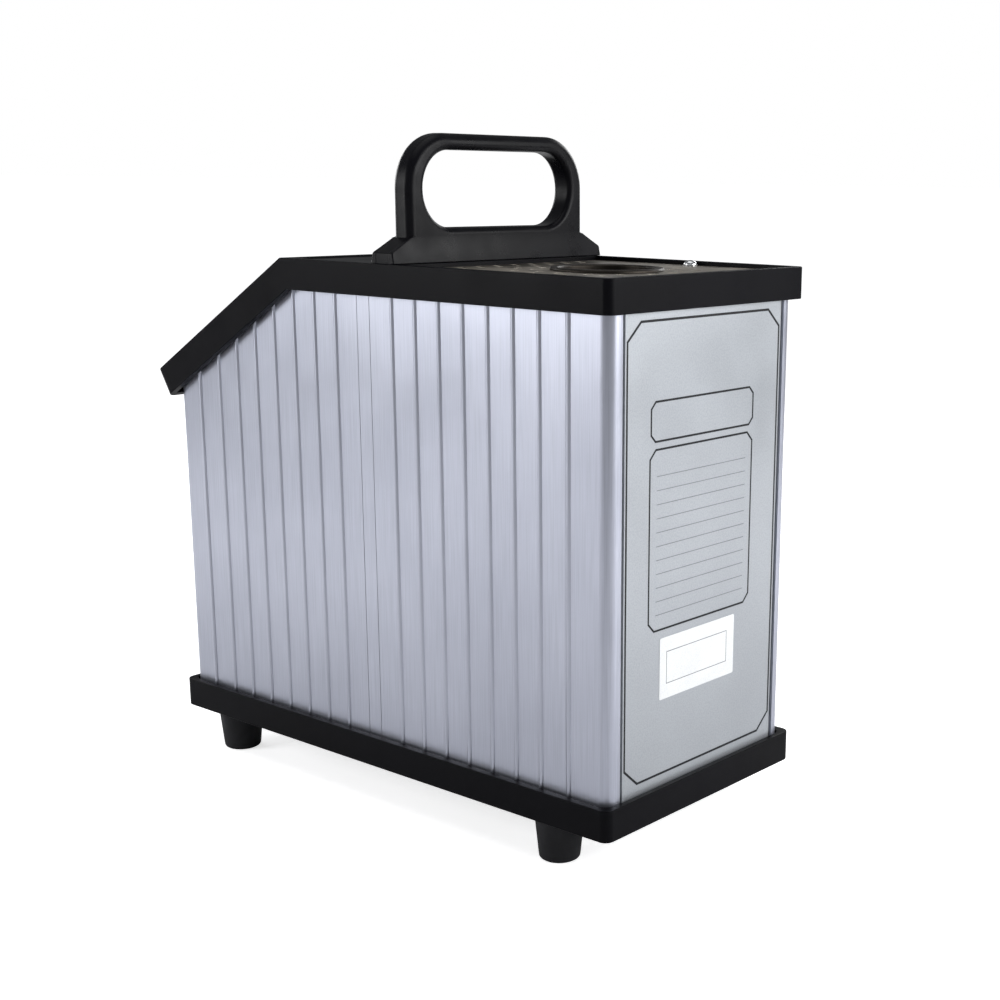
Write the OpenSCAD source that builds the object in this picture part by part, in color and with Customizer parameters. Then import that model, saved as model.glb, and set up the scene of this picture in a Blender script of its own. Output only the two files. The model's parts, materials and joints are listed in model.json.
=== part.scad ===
// Portable dry block heater: an instrument case with a sloping control panel, rubber feet
// and a carrying handle. A heated metal block stands under a round well in the top plate,
// with a drilled insert that lifts out, and a fan in the floor cools the case.
// +Z is up and the sloping panel faces -Y. The origin is on the bench, below the middle.

/* [Case] */
// Width over the moulded bezels
case_w = 144; // [136:1:170]
// Height of the case above its feet
case_h = 246; // [236:1:290]
// Length of the flat top, from the rear edge to the ridge
flat_l = 207.6; // [200:0.2:240]
// Length of the sloping front, measured down the slope
slope_l = 122.2; // [116:0.2:150]
// Angle of the sloping front below level
slope_angle = 31.1; // [27:0.1:35]
// Height of the band of both bezels
bezel_h = 15; // [12:0.5:18]
// Corner radius of the bezels, seen from above
bezel_r = 4.5; // [4:0.5:12]
// How far the side panels stand in from the bezels
side_inset = 5; // [4:0.1:7]
// How far the rear face stands in from the bezels
rear_inset = 3.3; // [2.6:0.1:6]
// How far the front face stands in from the base bezel
front_inset = 2.2; // [2:0.1:6]
// Width of the raised rim round the top plate
rim_w = 4.5; // [4.2:0.1:7]
// Thickness of the bezel wall at the low end of the slope
tip_wall = 3.8; // [3:0.1:4.5]
// How deep the top plate and the control panel lie below the rim
recess_d = 2; // [1:0.1:2.4]
// How far the deck in front of the handle lies below the rim
deck_drop = 0.8; // [0.4:0.1:1.6]
// Thickness of the deck under the handle
deck_t = 4; // [3:0.1:5]
// Thickness of the ledge that carries the top sheets
ledge_t = 2.5; // [2:0.1:3.5]
// Width of the ledge that carries the top sheets
ledge_w = 7; // [6.5:0.1:8]
// Thickness of the floor ledge of the base bezel
floor_t = 4; // [3:0.1:6]
// Width of the floor ledge of the base bezel
floor_ledge_w = 17; // [16:0.5:19]
// Clearance between the body and the bezel walls
fit_gap = 0.25; // [0.15:0.05:0.4]

/* [Body panels] */
// Thickness of the extruded side panels
panel_t = 2.4; // [2.2:0.1:3]
// Radius of the rounded upright corners
corner_r = 6; // [5:0.5:8]
// Distance from bead to bead
bead_pitch = 15.25; // [12:0.25:17]
// Radius of the round top of a bead
bead_r = 1.4; // [1:0.1:1.6]
// Height of a bead above the panel
bead_h = 0.9; // [0.4:0.1:1]
// Width of the strip that joins two panels
joiner_w = 8.6; // [7:0.1:11]
// Distance of the strip's middle from the rear of the bezels
joiner_back = 154.5; // [152:0.1:158]
// Width of the posts' rear and front faces
post_face = 7.6; // [7:0.1:9]
// Thickness of a covering lip
lip_t = 1.1; // [0.9:0.05:1.2]
// Reach of the tongue on a panel's edge
tongue_l = 2.6; // [2:0.1:3]
// Clearance round a tongue
tongue_gap = 0.2; // [0.1:0.05:0.3]
// Width of the open groove beside the rear and front panels
groove_w = 2; // [1:0.1:3]

/* [Feet] */
// Height of the feet
foot_h = 20; // [16:1:30]
// Radius of a foot at its top
foot_r_top = 11.5; // [10:0.1:12]
// Radius of a foot at the bench
foot_r_low = 9.7; // [8:0.1:9.9]
// Distance of a foot's centre from the side of the bezel
foot_x = 12; // [12:0.1:13]
// Distance of a front foot's centre from the front of the base bezel
foot_front_in = 32; // [30:0.5:50]
// Distance of a rear foot's centre from the rear of the base bezel
foot_rear_in = 38.5; // [30:0.5:50]
// Height of the hollow for the screw head in a foot
foot_pocket = 12; // [8:0.5:13]

/* [Handle] */
// Middle of the handle, measured from the rear of the case
handle_back = 134.7; // [132:0.1:140]
// Height of the handle above the case
handle_h = 58.5; // [54:0.5:75]
// Width over the uprights
handle_w = 120; // [112:1:126]
// Thickness of the grip from front to back
handle_t = 12; // [10:0.5:13]
// Radius of the outer upper corners
handle_r = 25; // [22:0.5:26]
// Radius of the rounded edges
handle_edge = 4; // [2:0.5:4.5]
// Width of the hand hole
hand_w = 100; // [92:1:104]
// Height of the hand hole
hand_h = 35.2; // [30:0.2:38]
// Height of the hand hole's lower edge above the case
hand_z = 15.8; // [13.5:0.1:18]
// Height of the foot flange at its ends
flange_h = 5; // [4:0.5:7]
// Height of the sloping shoulders
shoulder_h = 6.5; // [4:0.5:8]
// Depth of the foot flange from front to back
flange_t = 15.4; // [14.5:0.1:16]
// Radius of the screws that hold the handle
handle_screw_r = 2.5; // [2:0.1:3]

/* [Well and block] */
// Centre of the well, measured from the rear of the case
well_back = 62; // [60:0.5:64]
// Radius of the well mouth
well_r = 22.5; // [20:0.1:24]
// Radius of the collar's flange
collar_r = 26.5; // [25.5:0.1:30]
// Height of the collar above the top plate
collar_h = 1.5; // [1:0.1:2.5]
// Thickness of the collar's wall
collar_t = 1.1; // [0.8:0.1:1.4]
// Radius of the heated block
block_r = 31; // [30.5:0.1:33]
// Length of the heated block
block_l = 169; // [160:1:172]
// Radius of the bore in the block
bore_r = 17.75; // [16:0.05:18]
// Thickness of metal below the bore
bore_floor = 14; // [10:0.5:20]
// Clearance between the insert and the bore
insert_gap = 0.2; // [0.1:0.05:0.4]
// Length of the insert
insert_l = 150; // [120:1:152]
// Radii of the three probe holes
probe_radii = [5.1, 4.1, 3.3];
// Distance of the probe holes from the insert's axis
probe_ring = 9; // [8.6:0.1:10]
// Depth of the probe holes, down to the drill's point
probe_depth = 140; // [100:1:145]
// Radius of a cartridge heater
cartridge_r = 5; // [4:0.1:5.2]
// Length of a cartridge heater
cartridge_l = 150; // [100:1:155]
// Radius of the ring on which the cartridge heaters stand
cartridge_ring = 24.4; // [24:0.1:25]
// Thickness of the heat shield
shield_t = 1.2; // [0.8:0.1:2]
// Outside radius of the heat shield
shield_r = 49.2; // [44:0.1:52]
// Height of the ceramic spool below the block
spool_h = 14; // [10:0.5:18]
// Thickness of the carrier plate
carrier_t = 2; // [1.5:0.1:3]
// Height of the pillars below the carrier plate
pillar_h = 36.5; // [30:0.5:40]

/* [Top sheets] */
// Thickness of the top plate, the control panel, the floor pan and the bulkhead
sheet_t = 1.5; // [1.2:0.1:2]
// Radius of a vent hole in the top plate
vent_r = 2.2; // [1.5:0.1:2.6]
// Vent holes in each ring round the well
ring_vents = 14; // [10:1:16]
// Radii of the two rings of vent holes
vent_rings = [33.5, 42.5];
// Distance from vent to vent in the rows behind the handle
vent_pitch = 12; // [10:0.5:14]
// Vents in the longer row behind the handle
row_vents = 9; // [5:2:9]
// Radius of the domed screw's head
stud_r = 3.5; // [3:0.1:3.6]

/* [Fan] */
// Width of the square fan
fan_w = 80; // [76:1:80]
// Thickness of the fan
fan_t = 25; // [20:1:27]
// Blades of the fan
fan_blades = 7; // [5:1:9]
// Tilt of a blade
blade_tilt = 38; // [30:1:45]
// Radius of the fan's hub
hub_r = 17; // [15:0.5:20]
// Clearance between the rotor's shaft and its bearing
shaft_gap = 0.05; // [0.02:0.01:0.09]

/* [Instruments] */
// Width of an instrument's front frame
meter_w = 96; // [92:1:100]
// Height of an instrument's front frame
meter_h = 48; // [46:0.5:48]
// Depth of an instrument behind the panel
meter_depth = 75; // [50:1:80]
// How far an instrument's face stands out of the panel
meter_face = 6; // [5:0.5:8]
// Gap between the rim and the upper instrument's frame
meter_top = 3.3; // [2:0.1:3.5]
// Gap between the two instruments' frames
meter_gap = 3; // [1:0.1:3]
// Width of a display window
window_w = 80; // [60:1:82]
// Height of a display window
window_h = 22; // [16:0.5:22]
// Width of a key
key_w = 11.6; // [8:0.1:14]
// Height of a key
key_h = 5.6; // [4:0.1:6.5]
// Distance between keys
key_pitch = 24; // [18:0.5:26]
// How far a key stands proud of the face
key_proud = 1.2; // [0.9:0.1:1.6]
// Clearance round a key
key_gap = 0.2; // [0.1:0.05:0.3]
// Travel of a key
key_travel = 0.8; // [0.4:0.1:0.8]

/* [Front fittings] */
// Height of the switch and the socket above the case floor
switch_z = 132; // [110:1:134]
// Distance of the switch from the middle of the front
switch_x = 30; // [24:0.5:38]
// Width of the switch frame
switch_w = 24; // [22:0.5:26]
// Height of the switch frame
switch_h = 32; // [30:0.5:36]
// Radius of the rocker about its pivot
rocker_r = 12.4; // [11:0.1:12.6]
// Width of the rocker
rocker_w = 17.4; // [14:0.1:17.6]
// Angle between the rocker's two faces and the panel
rocker_tilt = 9; // [6:0.5:10]
// Distance of the sensor socket from the middle of the front
socket_x = 26; // [20:0.5:34]
// Height of the mains inlet's middle above the case floor
inlet_z = 59; // [45:1:90]
// Width of the mains inlet's flange
inlet_w = 50; // [48:0.5:56]
// Height of the mains inlet's flange
inlet_h = 42; // [40:0.5:48]
// Depth of the socket in the mains inlet
inlet_depth = 19; // [16:0.5:22]
// Length of the contact blades in the mains inlet
blade_l = 14; // [11:0.5:14]
// Length of the fuse drawer
drawer_l = 22; // [18:0.5:24]

/* [Inside] */
// Distance of the bulkhead from the rear of the case
bulkhead_back = 124; // [122:0.5:126]
// Width of the relay's heat sink
sink_w = 70; // [50:1:90]
// Height of the relay's heat sink
sink_h = 80; // [60:1:110]
// Fins of the relay's heat sink
sink_fins = 9; // [5:1:13]
// Length of a fin
fin_l = 16; // [10:0.5:18]

/* [Fasteners] */
// Radius of the case screws
case_screw_r = 2; // [1.5:0.1:2.2]
// Radius of the panel screws
panel_screw_r = 1.5; // [1.2:0.1:1.6]
// Clearance round a screw
screw_gap = 0.1; // [0.05:0.05:0.2]

/* [Hidden] */
$fn = 96;
small = 0.01;
cut = 1;

// Colours
bezel_black = "#17181c";
anodised = "#b6bac4";
panel_grey = "#b4b7ba";
steel = "#b9b4ab";
bright = "#dfe1e4";
rubber_black = "#1c1d1f";
block_metal = "#a98f5c";
ceramic_white = "#e6e2d6";
fibre = "#d9d2bf";
zinc = "#a9adb2";
dark_plastic = "#232427";
window_tint = "#2a1013";
key_grey = "#5b6068";

// The case's frame of reference
total_l = flat_l + slope_l * cos(slope_angle);
rear_y = total_l / 2;
ridge_y = rear_y - flat_l;
tip_y = -rear_y;
base_z = foot_h;
top_z = base_z + case_h;
half_w = case_w / 2;
side_x = half_w - side_inset;
rear_face = rear_y - rear_inset;
front_face = tip_y + tip_wall * cos(slope_angle) + bezel_h * sin(slope_angle) + fit_gap;
base_front = front_face - front_inset;
base_l = rear_y - base_front;
base_mid = (rear_y + base_front) / 2;
body_l = rear_face - front_face;
body_mid = (rear_face + front_face) / 2;
side_gap = bead_h + fit_gap;
floor_z = base_z + floor_t;
pan_top = floor_z + sheet_t;
sheet_drop = recess_d + sheet_t;
seat_drop = sheet_drop + ledge_t;
seat_z = top_z - seat_drop;
plate_top = top_z - recess_d;
rim_x = half_w - rim_w;
ledge_x = rim_x - ledge_w;

// The side panels: beads are counted from the joiner out to the one on a post's edge, as many
// as leave the posts their room
joiner_y = rear_y - joiner_back;
post_room = 18;
bead_run = min(rear_face - joiner_y, joiner_y - front_face) - joiner_w / 2 - post_room;
beads = floor(bead_run / bead_pitch);
seam_in = joiner_w / 2 + beads * bead_pitch;
lip_in = lip_t + tongue_gap;
groove_in = panel_t + tongue_gap;
trap_t = 1.5;
trap_w = 13;
trap_neck = 2.8;
seam_gap = 0.15;
post_web = 3;
post_grip = 6;
post_trap = 7.5;
post_screw_in = 7.2;
stud_l = sheet_t + ledge_t - 0.2;
stud_x = -(rim_x - stud_r - 0.6);
stud_washer = 0.7;
stud_rim = 1.8;

// The handle
handle_y = rear_y - handle_back;
handle_top = top_z + handle_h;
bar_front = handle_y - flange_t / 2 - 3;
bar_rear = handle_y + flange_t / 2 + 0.7;
hand_r = hand_h / 2;
hand_mid = top_z + hand_z + hand_r;
handle_screw_xs = [for (i = [-1.5:1.5]) i * handle_w / 3.75];
handle_screw_in = 8;

// The well and what hangs below it
well_y = rear_y - well_back;
pillar_top = pan_top + pillar_h;
carrier_top = pillar_top + carrier_t;
block_z = carrier_top + spool_h;
block_top = block_z + block_l;
insert_z = block_z + bore_floor + 0.3;
insert_r = bore_r - insert_gap;
probe_mouth = 0.8;
drill_rise = 31;
shield_top = block_top + 1 + shield_t;
collar_low = block_top + 0.3;
pillar_r = 3.5;
pillar_in = 46;
carrier_edge = 6;
carrier_w = 2 * (pillar_in + carrier_edge);
cartridge_out = 3;
sensor_r = 2;
sensor_l = 110;
sensor_out = 8;
rod_gap = 0.05;
rod_room = 0.3;
spool_r = 13;
spool_flange_r = 17;
spool_flange_t = 3;
spool_bore_r = 5;
carrier_hole_r = 5;
carrier_hole_ring = 29;

// The fan
fan_z = pan_top;
fan_bore = fan_w / 2 - 2;
blade_r = fan_bore - 1.5;
fan_hole = 35.75;
hub_h = fan_t - 6;
hub_t = 1.5;
shaft_r = 2;
spider_t = 3;
spider_w = 4;
blade_t = 1.6;
guard_rings = [14, 21, 28, 35];
guard_wire = 1.8;
guard_t = 1.2;
guard_hub = 7;
guard_eye = 4;

// The instruments: depths are measured from the slope's surface
panel_face = -recess_d;
meter_first = rim_w + meter_top + meter_h / 2;
meter_pitch = meter_h + meter_gap;
meter_front = panel_face + meter_face;
meter_skin = 1.8;
meter_wall = 1.6;
meter_case_w = meter_w - 4.6;
meter_case_h = meter_h - 3.6;
meter_split = panel_face - 6;
window_up = 7;
key_down = 14;
key_lip = 1;
key_corner = 1;
meter_corner = 2;
meter_slot_w = 3;
meter_slot_l = 24;
meter_slot_pitch = 9;
window_lip = 1.5;

// The front fittings
end_tongue_in = 5;
end_panel_in = 0.3;
front_skin = front_face + end_panel_in;
panel_body = 2;
switch_body_w = switch_w - 3;
switch_body_h = switch_h - 4;
switch_body_l = 24;
socket_w = 28;
socket_h = 16;
socket_body_w = 22;
socket_body_h = 12;
socket_body_l = 16;
socket_slots = [[-6.05, 3.6], [4.65, 2.8]];
socket_slot_w = 0.9;
fitting_t = 3;
inlet_body_w = 30;
inlet_body_h = 34;
inlet_body_l = 27;
inlet_screw_x = 20;
inlet_hole_w = 24.6;
inlet_hole_h = 16.6;
drawer_w = 24;
blade_w = 2;
drawer_h = 8;
drawer_out = fitting_t + 0.6;
fuse_w = 16;
rocker_pivot = 6;
rocker_z = base_z + switch_z;
pivot_r = 1.5;
pivot_gap = 0.05;
rocker_gap = 0.3;
rocker_back = 5;
inlet_mid = base_z + inlet_z;
inlet_hole_z = 5.5;
drawer_drop = 11.4;
sink_up = 30;
sink_z = pan_top + sink_up;
bulkhead_y = rear_y - bulkhead_back;
bulkhead_foot = 12;
louvre_w = 24;
louvre_h = 3;
louvre_pitch = 8;
sink_base = 4;
fin_t = 2;
sink_front = bulkhead_y - fin_l - sink_base;
relay_w = 44;
relay_h = 58;
relay_t = 22;
relay_stud_r = 4;

// A place on the side profile: how far down the slope, and how deep below its surface
function slope_point(along, deep) = [
    ridge_y - along * cos(slope_angle) + deep * sin(slope_angle),
    top_z - along * sin(slope_angle) - deep * cos(slope_angle)];

// Where the level and the sloping planes meet, at one depth below the surface
function bend_y(deep) = ridge_y + deep * tan(slope_angle / 2);

// Points of an arc, from one angle to another
function polar(turn) = [cos(turn), sin(turn)];
function arc(centre, r, from, to, steps) =
    [for (i = [0:steps]) centre + r * polar(from + (to - from) * i / steps)];

module rounded_rect(w, l, r) {
    square([w - 2 * r, l], center = true);
    square([w, l - 2 * r], center = true);
    for (x = [-1, 1], y = [-1, 1]) {
        translate([x * (w / 2 - r), y * (l / 2 - r)]) circle(r);
    }
}

// What comes off the two corners at the far end of a strip that ends at y = l, to round them.
// The arc stands a little outside the strip's faces, so that it crosses them cleanly.
module corners_off(w, l, r) {
    out = 2 * small;
    for (x = [0, 1]) {
        mirror([x, 0]) translate([w / 2 - r + out, l - r + out]) difference() {
            square(r + cut);
            circle(r);
        }
    }
}

// Extrudes an outline of Y and Z along X, centred
module along_x(w) {
    translate([-w / 2, 0, 0]) rotate([90, 0, 90]) linear_extrude(w) children();
}

// Extrudes an outline of X and Z along Y, centred on y = 0
module along_y(l) {
    translate([0, l / 2, 0]) rotate([90, 0, 0]) linear_extrude(l) children();
}

// Puts a shape on the slope: its y runs up the slope and its z out of the surface
module on_slope() {
    translate([0, ridge_y, top_z]) rotate([slope_angle, 0, 0]) children();
}

// The space below both ledges that the body fills
module body_space() {
    front = front_face - cut;
    front_z = top_z - seat_drop / cos(slope_angle) + (front - ridge_y) * tan(slope_angle);
    along_x(case_w) polygon([
        [front, floor_z],
        [rear_face + cut, floor_z],
        [rear_face + cut, seat_z],
        [bend_y(seat_drop), seat_z],
        [front, front_z]]);
}

module at_feet() {
    for (x = [-1, 1], y = [base_front + foot_front_in, rear_y - foot_rear_in]) {
        translate([x * (half_w - foot_x), y, 0]) children();
    }
}

// The screw channel of each corner post
module at_posts() {
    for (x = [-1, 1], y = [front_face + post_screw_in, rear_face - post_screw_in]) {
        translate([x * (side_x - post_screw_in), y, 0]) children();
    }
}

// A pan-head screw with its seat at z = 0 and its shank pointing up
module screw(r, l) {
    cylinder(r = r, h = l);
    translate([0, 0, -r * 1.2]) cylinder(r = r * 2, h = r * 1.2);
}

/* Casing */

module base_bezel() color(bezel_black) {
    difference() {
        union() {
            difference() {
                translate([0, base_mid, base_z]) linear_extrude(bezel_h)
                    rounded_rect(case_w, base_l, bezel_r);
                translate([0, body_mid, floor_z]) linear_extrude(bezel_h)
                    rounded_rect(2 * (side_x + side_gap), body_l + 2 * fit_gap, corner_r);
                translate([0, body_mid, base_z - cut]) linear_extrude(bezel_h)
                    rounded_rect(2 * (side_x - floor_ledge_w), body_l - 2 * floor_ledge_w, corner_r);
            }
            at_feet() translate([0, 0, floor_z - small]) cylinder(r = case_screw_r + 2.2, h = 6);
        }
        at_feet() translate([0, 0, base_z - cut])
            cylinder(r = case_screw_r + screw_gap, h = floor_t + 5 + cut);
        at_posts() translate([0, 0, base_z - cut])
            cylinder(r = case_screw_r + screw_gap, h = floor_t + 2 * cut);
    }
}

pan_w = 2 * (side_x - floor_ledge_w + 5);
pan_slot_w = 4;
pan_slot_l = 36;
pan_slot_pitch = 13;
pan_slot_row = 50;
pan_slot_in = 26;
pan_front = front_face + 7;
pan_rear = rear_face - 7;
module floor_pan() color(zinc) {
    difference() {
        translate([-pan_w / 2, pan_front, floor_z]) cube([pan_w, pan_rear - pan_front, sheet_t]);
        translate([0, well_y, floor_z - cut]) cylinder(r = fan_bore, h = sheet_t + 2 * cut);
        for (x = [-1, 1], y = [-1, 1]) {
            translate([x * fan_hole, well_y + y * fan_hole, floor_z - cut])
                cylinder(r = panel_screw_r + screw_gap, h = sheet_t + 2 * cut);
        }
        for (x = [-3:3], y = [0, 1]) {
            start = pan_front + pan_slot_in + y * pan_slot_row;
            translate([x * pan_slot_pitch - pan_slot_w / 2, start, floor_z - cut])
                cube([pan_slot_w, pan_slot_l, sheet_t + 2 * cut]);
        }
    }
}

foot_edge = 2;
foot_pocket_r = case_screw_r * 2 + 0.6;
module foot() {
    difference() {
        rotate_extrude() polygon(concat(
            [[0, 0]],
            arc([foot_r_low - foot_edge, foot_edge], foot_edge, -90, 0, 4),
            [[foot_r_top, foot_h], [0, foot_h]]));
        translate([0, 0, -cut]) cylinder(r = foot_pocket_r, h = foot_pocket + cut);
        cylinder(r = case_screw_r + screw_gap, h = foot_h + cut);
    }
}

module foot_at(side, y) color(rubber_black) translate([side * (half_w - foot_x), y, 0]) foot();
module foot_front_left() foot_at(-1, base_front + foot_front_in);
module foot_front_right() foot_at(1, base_front + foot_front_in);
module foot_rear_left() foot_at(-1, rear_y - foot_rear_in);
module foot_rear_right() foot_at(1, rear_y - foot_rear_in);

module case_screws() color(bright) {
    at_feet() translate([0, 0, foot_pocket]) screw(case_screw_r, foot_h - foot_pocket + floor_t + 4);
    at_posts() translate([0, 0, base_z]) screw(case_screw_r, floor_t + 8);
}

// Outline of a side panel: x is the depth in from its face, y runs from the joiner outwards
module side_panel_outline() {
    near = joiner_w / 2 + seam_gap;
    far = seam_in - seam_gap;
    translate([0, near]) square([panel_t, far - near]);
    translate([lip_in, near - tongue_l]) square([panel_t - lip_in, far - near + 2 * tongue_l]);
    for (i = [1:beads - 1]) {
        translate([bead_r - bead_h, joiner_w / 2 + i * bead_pitch]) circle(bead_r, $fn = 32);
    }
}

// side is 1 for +X and end is 1 for the rear
module side_panel(side, end) color(anodised) {
    intersection() {
        translate([side * side_x, joiner_y, floor_z]) mirror([side > 0 ? 1 : 0, 0, 0])
            mirror([0, end > 0 ? 0 : 1, 0]) linear_extrude(case_h) side_panel_outline();
        body_space();
    }
}
module side_panel_left_front() side_panel(-1, -1);
module side_panel_left_rear() side_panel(-1, 1);
module side_panel_right_front() side_panel(1, -1);
module side_panel_right_rear() side_panel(1, 1);

module side_joiner(side) color(anodised) {
    translate([side * side_x, joiner_y, floor_z]) mirror([side > 0 ? 1 : 0, 0, 0])
        linear_extrude(seat_z - floor_z) {
        translate([0, seam_gap - joiner_w / 2]) square([lip_t, joiner_w - 2 * seam_gap]);
        translate([0, -trap_neck / 2]) square([groove_in + trap_t, trap_neck]);
        translate([groove_in, -trap_w / 2]) square([trap_t, trap_w]);
    }
}
module side_joiner_left() side_joiner(-1);
module side_joiner_right() side_joiner(1);

// Outline of a corner post: x is the depth in from the side face and y from the end face
module post_outline(reach) {
    flank = reach - tongue_l - 2 * tongue_gap;
    difference() {
        intersection() {
            union() {
                square([lip_t, reach]);
                square([post_face, lip_t]);
                square([panel_t, flank]);
                square([post_face - post_web, panel_t]);
                square([groove_in + trap_t, groove_in + trap_t]);
                translate([0, reach - post_grip]) square([groove_in + trap_t, flank - reach + post_grip]);
                translate([groove_in, reach - post_grip]) square([trap_t, post_trap]);
                translate([0, groove_in]) square([post_face + groove_w, trap_t]);
                translate([0, post_screw_in - post_web / 2]) square([post_screw_in, post_web]);
                translate([post_screw_in, post_screw_in]) circle(case_screw_r + 1.8);
                intersection() {
                    translate([bead_r - bead_h, reach - bead_r]) circle(bead_r, $fn = 32);
                    translate([-bead_h, 0]) square([lip_t + bead_h, reach]);
                }
            }
            union() {
                translate([corner_r, corner_r]) circle(corner_r);
                translate([corner_r, 0]) square([reach, reach + 2]);
                translate([-bead_h, corner_r]) square([reach, reach + 2]);
            }
        }
        translate([post_screw_in, post_screw_in]) circle(case_screw_r + screw_gap);
    }
}

module corner_post(side, end) color(anodised) {
    face = end > 0 ? rear_face : front_face;
    intersection() {
        translate([side * side_x, face, floor_z]) mirror([side > 0 ? 1 : 0, 0, 0])
            mirror([0, end > 0 ? 1 : 0, 0]) linear_extrude(case_h)
                post_outline(abs(face - joiner_y) - seam_in);
        body_space();
    }
}
module corner_post_front_left() corner_post(-1, -1);
module corner_post_front_right() corner_post(1, -1);
module corner_post_rear_left() corner_post(-1, 1);
module corner_post_rear_right() corner_post(1, 1);

// A flat end panel with a thinner tongue down each side, its outer face at y = 0
end_panel_w = 2 * (side_x - post_face - groove_w);
module end_panel(h) {
    translate([-end_panel_w / 2, 0, 0]) cube([end_panel_w, panel_body, h]);
    translate([end_tongue_in - side_x, 1, 0]) cube([2 * (side_x - end_tongue_in), panel_body - 1, h]);
}

module rear_panel() color(panel_grey) {
    translate([0, rear_face - end_panel_in, floor_z]) mirror([0, 1, 0]) end_panel(seat_z - floor_z);
}

// A hole in the front panel for a fitting's body, with a little clearance round it
module front_hole(x, z, w, h) {
    translate([x, front_skin, z]) cube([w + 0.4, 6 * panel_body, h + 0.4], center = true);
}

module front_panel() color(panel_grey) {
    difference() {
        intersection() {
            translate([0, front_skin, floor_z]) end_panel(case_h);
            body_space();
        }
        front_hole(-switch_x, rocker_z, switch_body_w, switch_body_h);
        front_hole(socket_x, rocker_z, socket_body_w, socket_body_h);
        front_hole(0, inlet_mid, inlet_body_w, inlet_body_h);
        for (x = [-1, 1]) {
            translate([x * inlet_screw_x, front_skin - cut, inlet_mid]) rotate([-90, 0, 0])
                cylinder(r = panel_screw_r + screw_gap, h = panel_body + 2 * cut);
        }
    }
}

// The level part and the sloping part of the top bezel, one into the other
module top_band() {
    tall = bezel_h + 2 * cut;
    difference() {
        along_x(case_w) polygon([
            [rear_y, top_z],
            [ridge_y, top_z],
            slope_point(slope_l, 0),
            slope_point(slope_l, bezel_h),
            [bend_y(bezel_h), top_z - bezel_h],
            [rear_y, top_z - bezel_h]]);
        translate([0, 0, top_z - bezel_h - cut]) linear_extrude(tall) corners_off(case_w, rear_y, bezel_r);
        on_slope() translate([0, 0, -bezel_h - cut]) linear_extrude(tall)
            mirror([0, 1]) corners_off(case_w, slope_l, bezel_r);
    }
}

panel_low = slope_l - tip_wall;
panel_land = 11.5;
panel_window_low = slope_l - panel_land;
module top_bezel() color(bezel_black) {
    difference() {
        top_band();
        // The hollow that the body tucks into
        along_x(2 * (side_x + side_gap)) polygon([
            [rear_face + fit_gap, slope_point(panel_low, bezel_h + 2)[1]],
            [rear_face + fit_gap, seat_z],
            [bend_y(seat_drop), seat_z],
            slope_point(panel_low, seat_drop),
            slope_point(panel_low, bezel_h + 2)]);
        // The seat of the top plate, and the window below it
        translate([-rim_x, bar_rear, top_z - sheet_drop])
            cube([2 * rim_x, rear_y - rim_w - bar_rear, bezel_h]);
        translate([-ledge_x, bar_rear + 5, seat_z - cut])
            cube([2 * ledge_x, rear_y - rim_w - 10 - bar_rear, bezel_h]);
        // The shallow recess of the deck, and the hollow under it
        translate([-rim_x, ridge_y + rim_w, top_z - deck_drop])
            cube([2 * rim_x, bar_front - ridge_y - rim_w, bezel_h]);
        translate([-ledge_x, bend_y(seat_drop) + 4, seat_z - cut])
            cube([2 * ledge_x, bar_rear - bend_y(seat_drop) - 4, seat_drop - deck_t + cut]);
        // The seat of the control panel, and the window below it
        on_slope() translate([-rim_x, -panel_low, -sheet_drop]) cube([2 * rim_x, panel_low - rim_w, bezel_h]);
        on_slope() translate([-ledge_x, -panel_window_low, -seat_drop - cut])
            cube([2 * ledge_x, panel_window_low - 7, bezel_h]);
        for (x = handle_screw_xs) {
            translate([x, handle_y, seat_z]) cylinder(r = handle_screw_r + screw_gap, h = bezel_h);
        }
        translate([stud_x, well_y, seat_z - cut]) cylinder(r = case_screw_r + screw_gap, h = bezel_h);
        at_panel_corners() translate([0, 0, -bezel_h]) cylinder(r = panel_screw_r + screw_gap, h = bezel_h);
    }
}

module at_panel_corners() {
    for (x = [-1, 1], y = [-rim_w - 5, -panel_low + 5]) {
        on_slope() translate([x * (rim_x - 4), y, 0]) children();
    }
}

module control_panel() color(panel_grey) {
    difference() {
        on_slope() translate([-rim_x + 0.3, -panel_low + 0.3, -sheet_drop])
            cube([2 * rim_x - 0.6, panel_low - rim_w - 0.6, sheet_t]);
        for (i = [0, 1]) {
            on_slope() translate([0, -meter_first - i * meter_pitch, -sheet_drop])
                cube([meter_case_w + 0.6, meter_case_h + 0.6, 10], center = true);
        }
        at_panel_corners() translate([0, 0, -10]) cylinder(r = panel_screw_r + screw_gap, h = 10);
    }
}

module at_vents() {
    for (ring = [0, 1], i = [0:ring_vents - 1]) {
        turn = (i + ring / 2) * 360 / ring_vents;
        translate([vent_rings[ring] * cos(turn), well_y + vent_rings[ring] * sin(turn)]) children();
    }
    for (row = [0, 1], i = [0:row_vents - 1 - row]) {
        translate([(i - (row_vents - 1 - row) / 2) * vent_pitch, bar_rear + 6 + row * 8]) children();
    }
}

module top_plate() color(steel) {
    translate([0, 0, top_z - sheet_drop]) linear_extrude(sheet_t) difference() {
        translate([-rim_x + 0.3, bar_rear + 0.3]) square([2 * rim_x - 0.6, rear_y - rim_w - bar_rear - 0.6]);
        translate([0, well_y]) circle(well_r + collar_t + 0.2);
        at_vents() circle(vent_r, $fn = 32);
        translate([stud_x, well_y]) circle(case_screw_r + screw_gap);
    }
}

module well_collar() color(bright) {
    translate([0, well_y, 0]) rotate_extrude() polygon(concat(
        [[well_r, collar_low], [well_r + collar_t, collar_low], [well_r + collar_t, plate_top]],
        [[collar_r, plate_top]],
        arc([collar_r - 1, plate_top + collar_h - 1], 1, 0, 90, 4),
        arc([well_r + 1, plate_top + collar_h - 1], 1, 90, 180, 4)));
}

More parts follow.
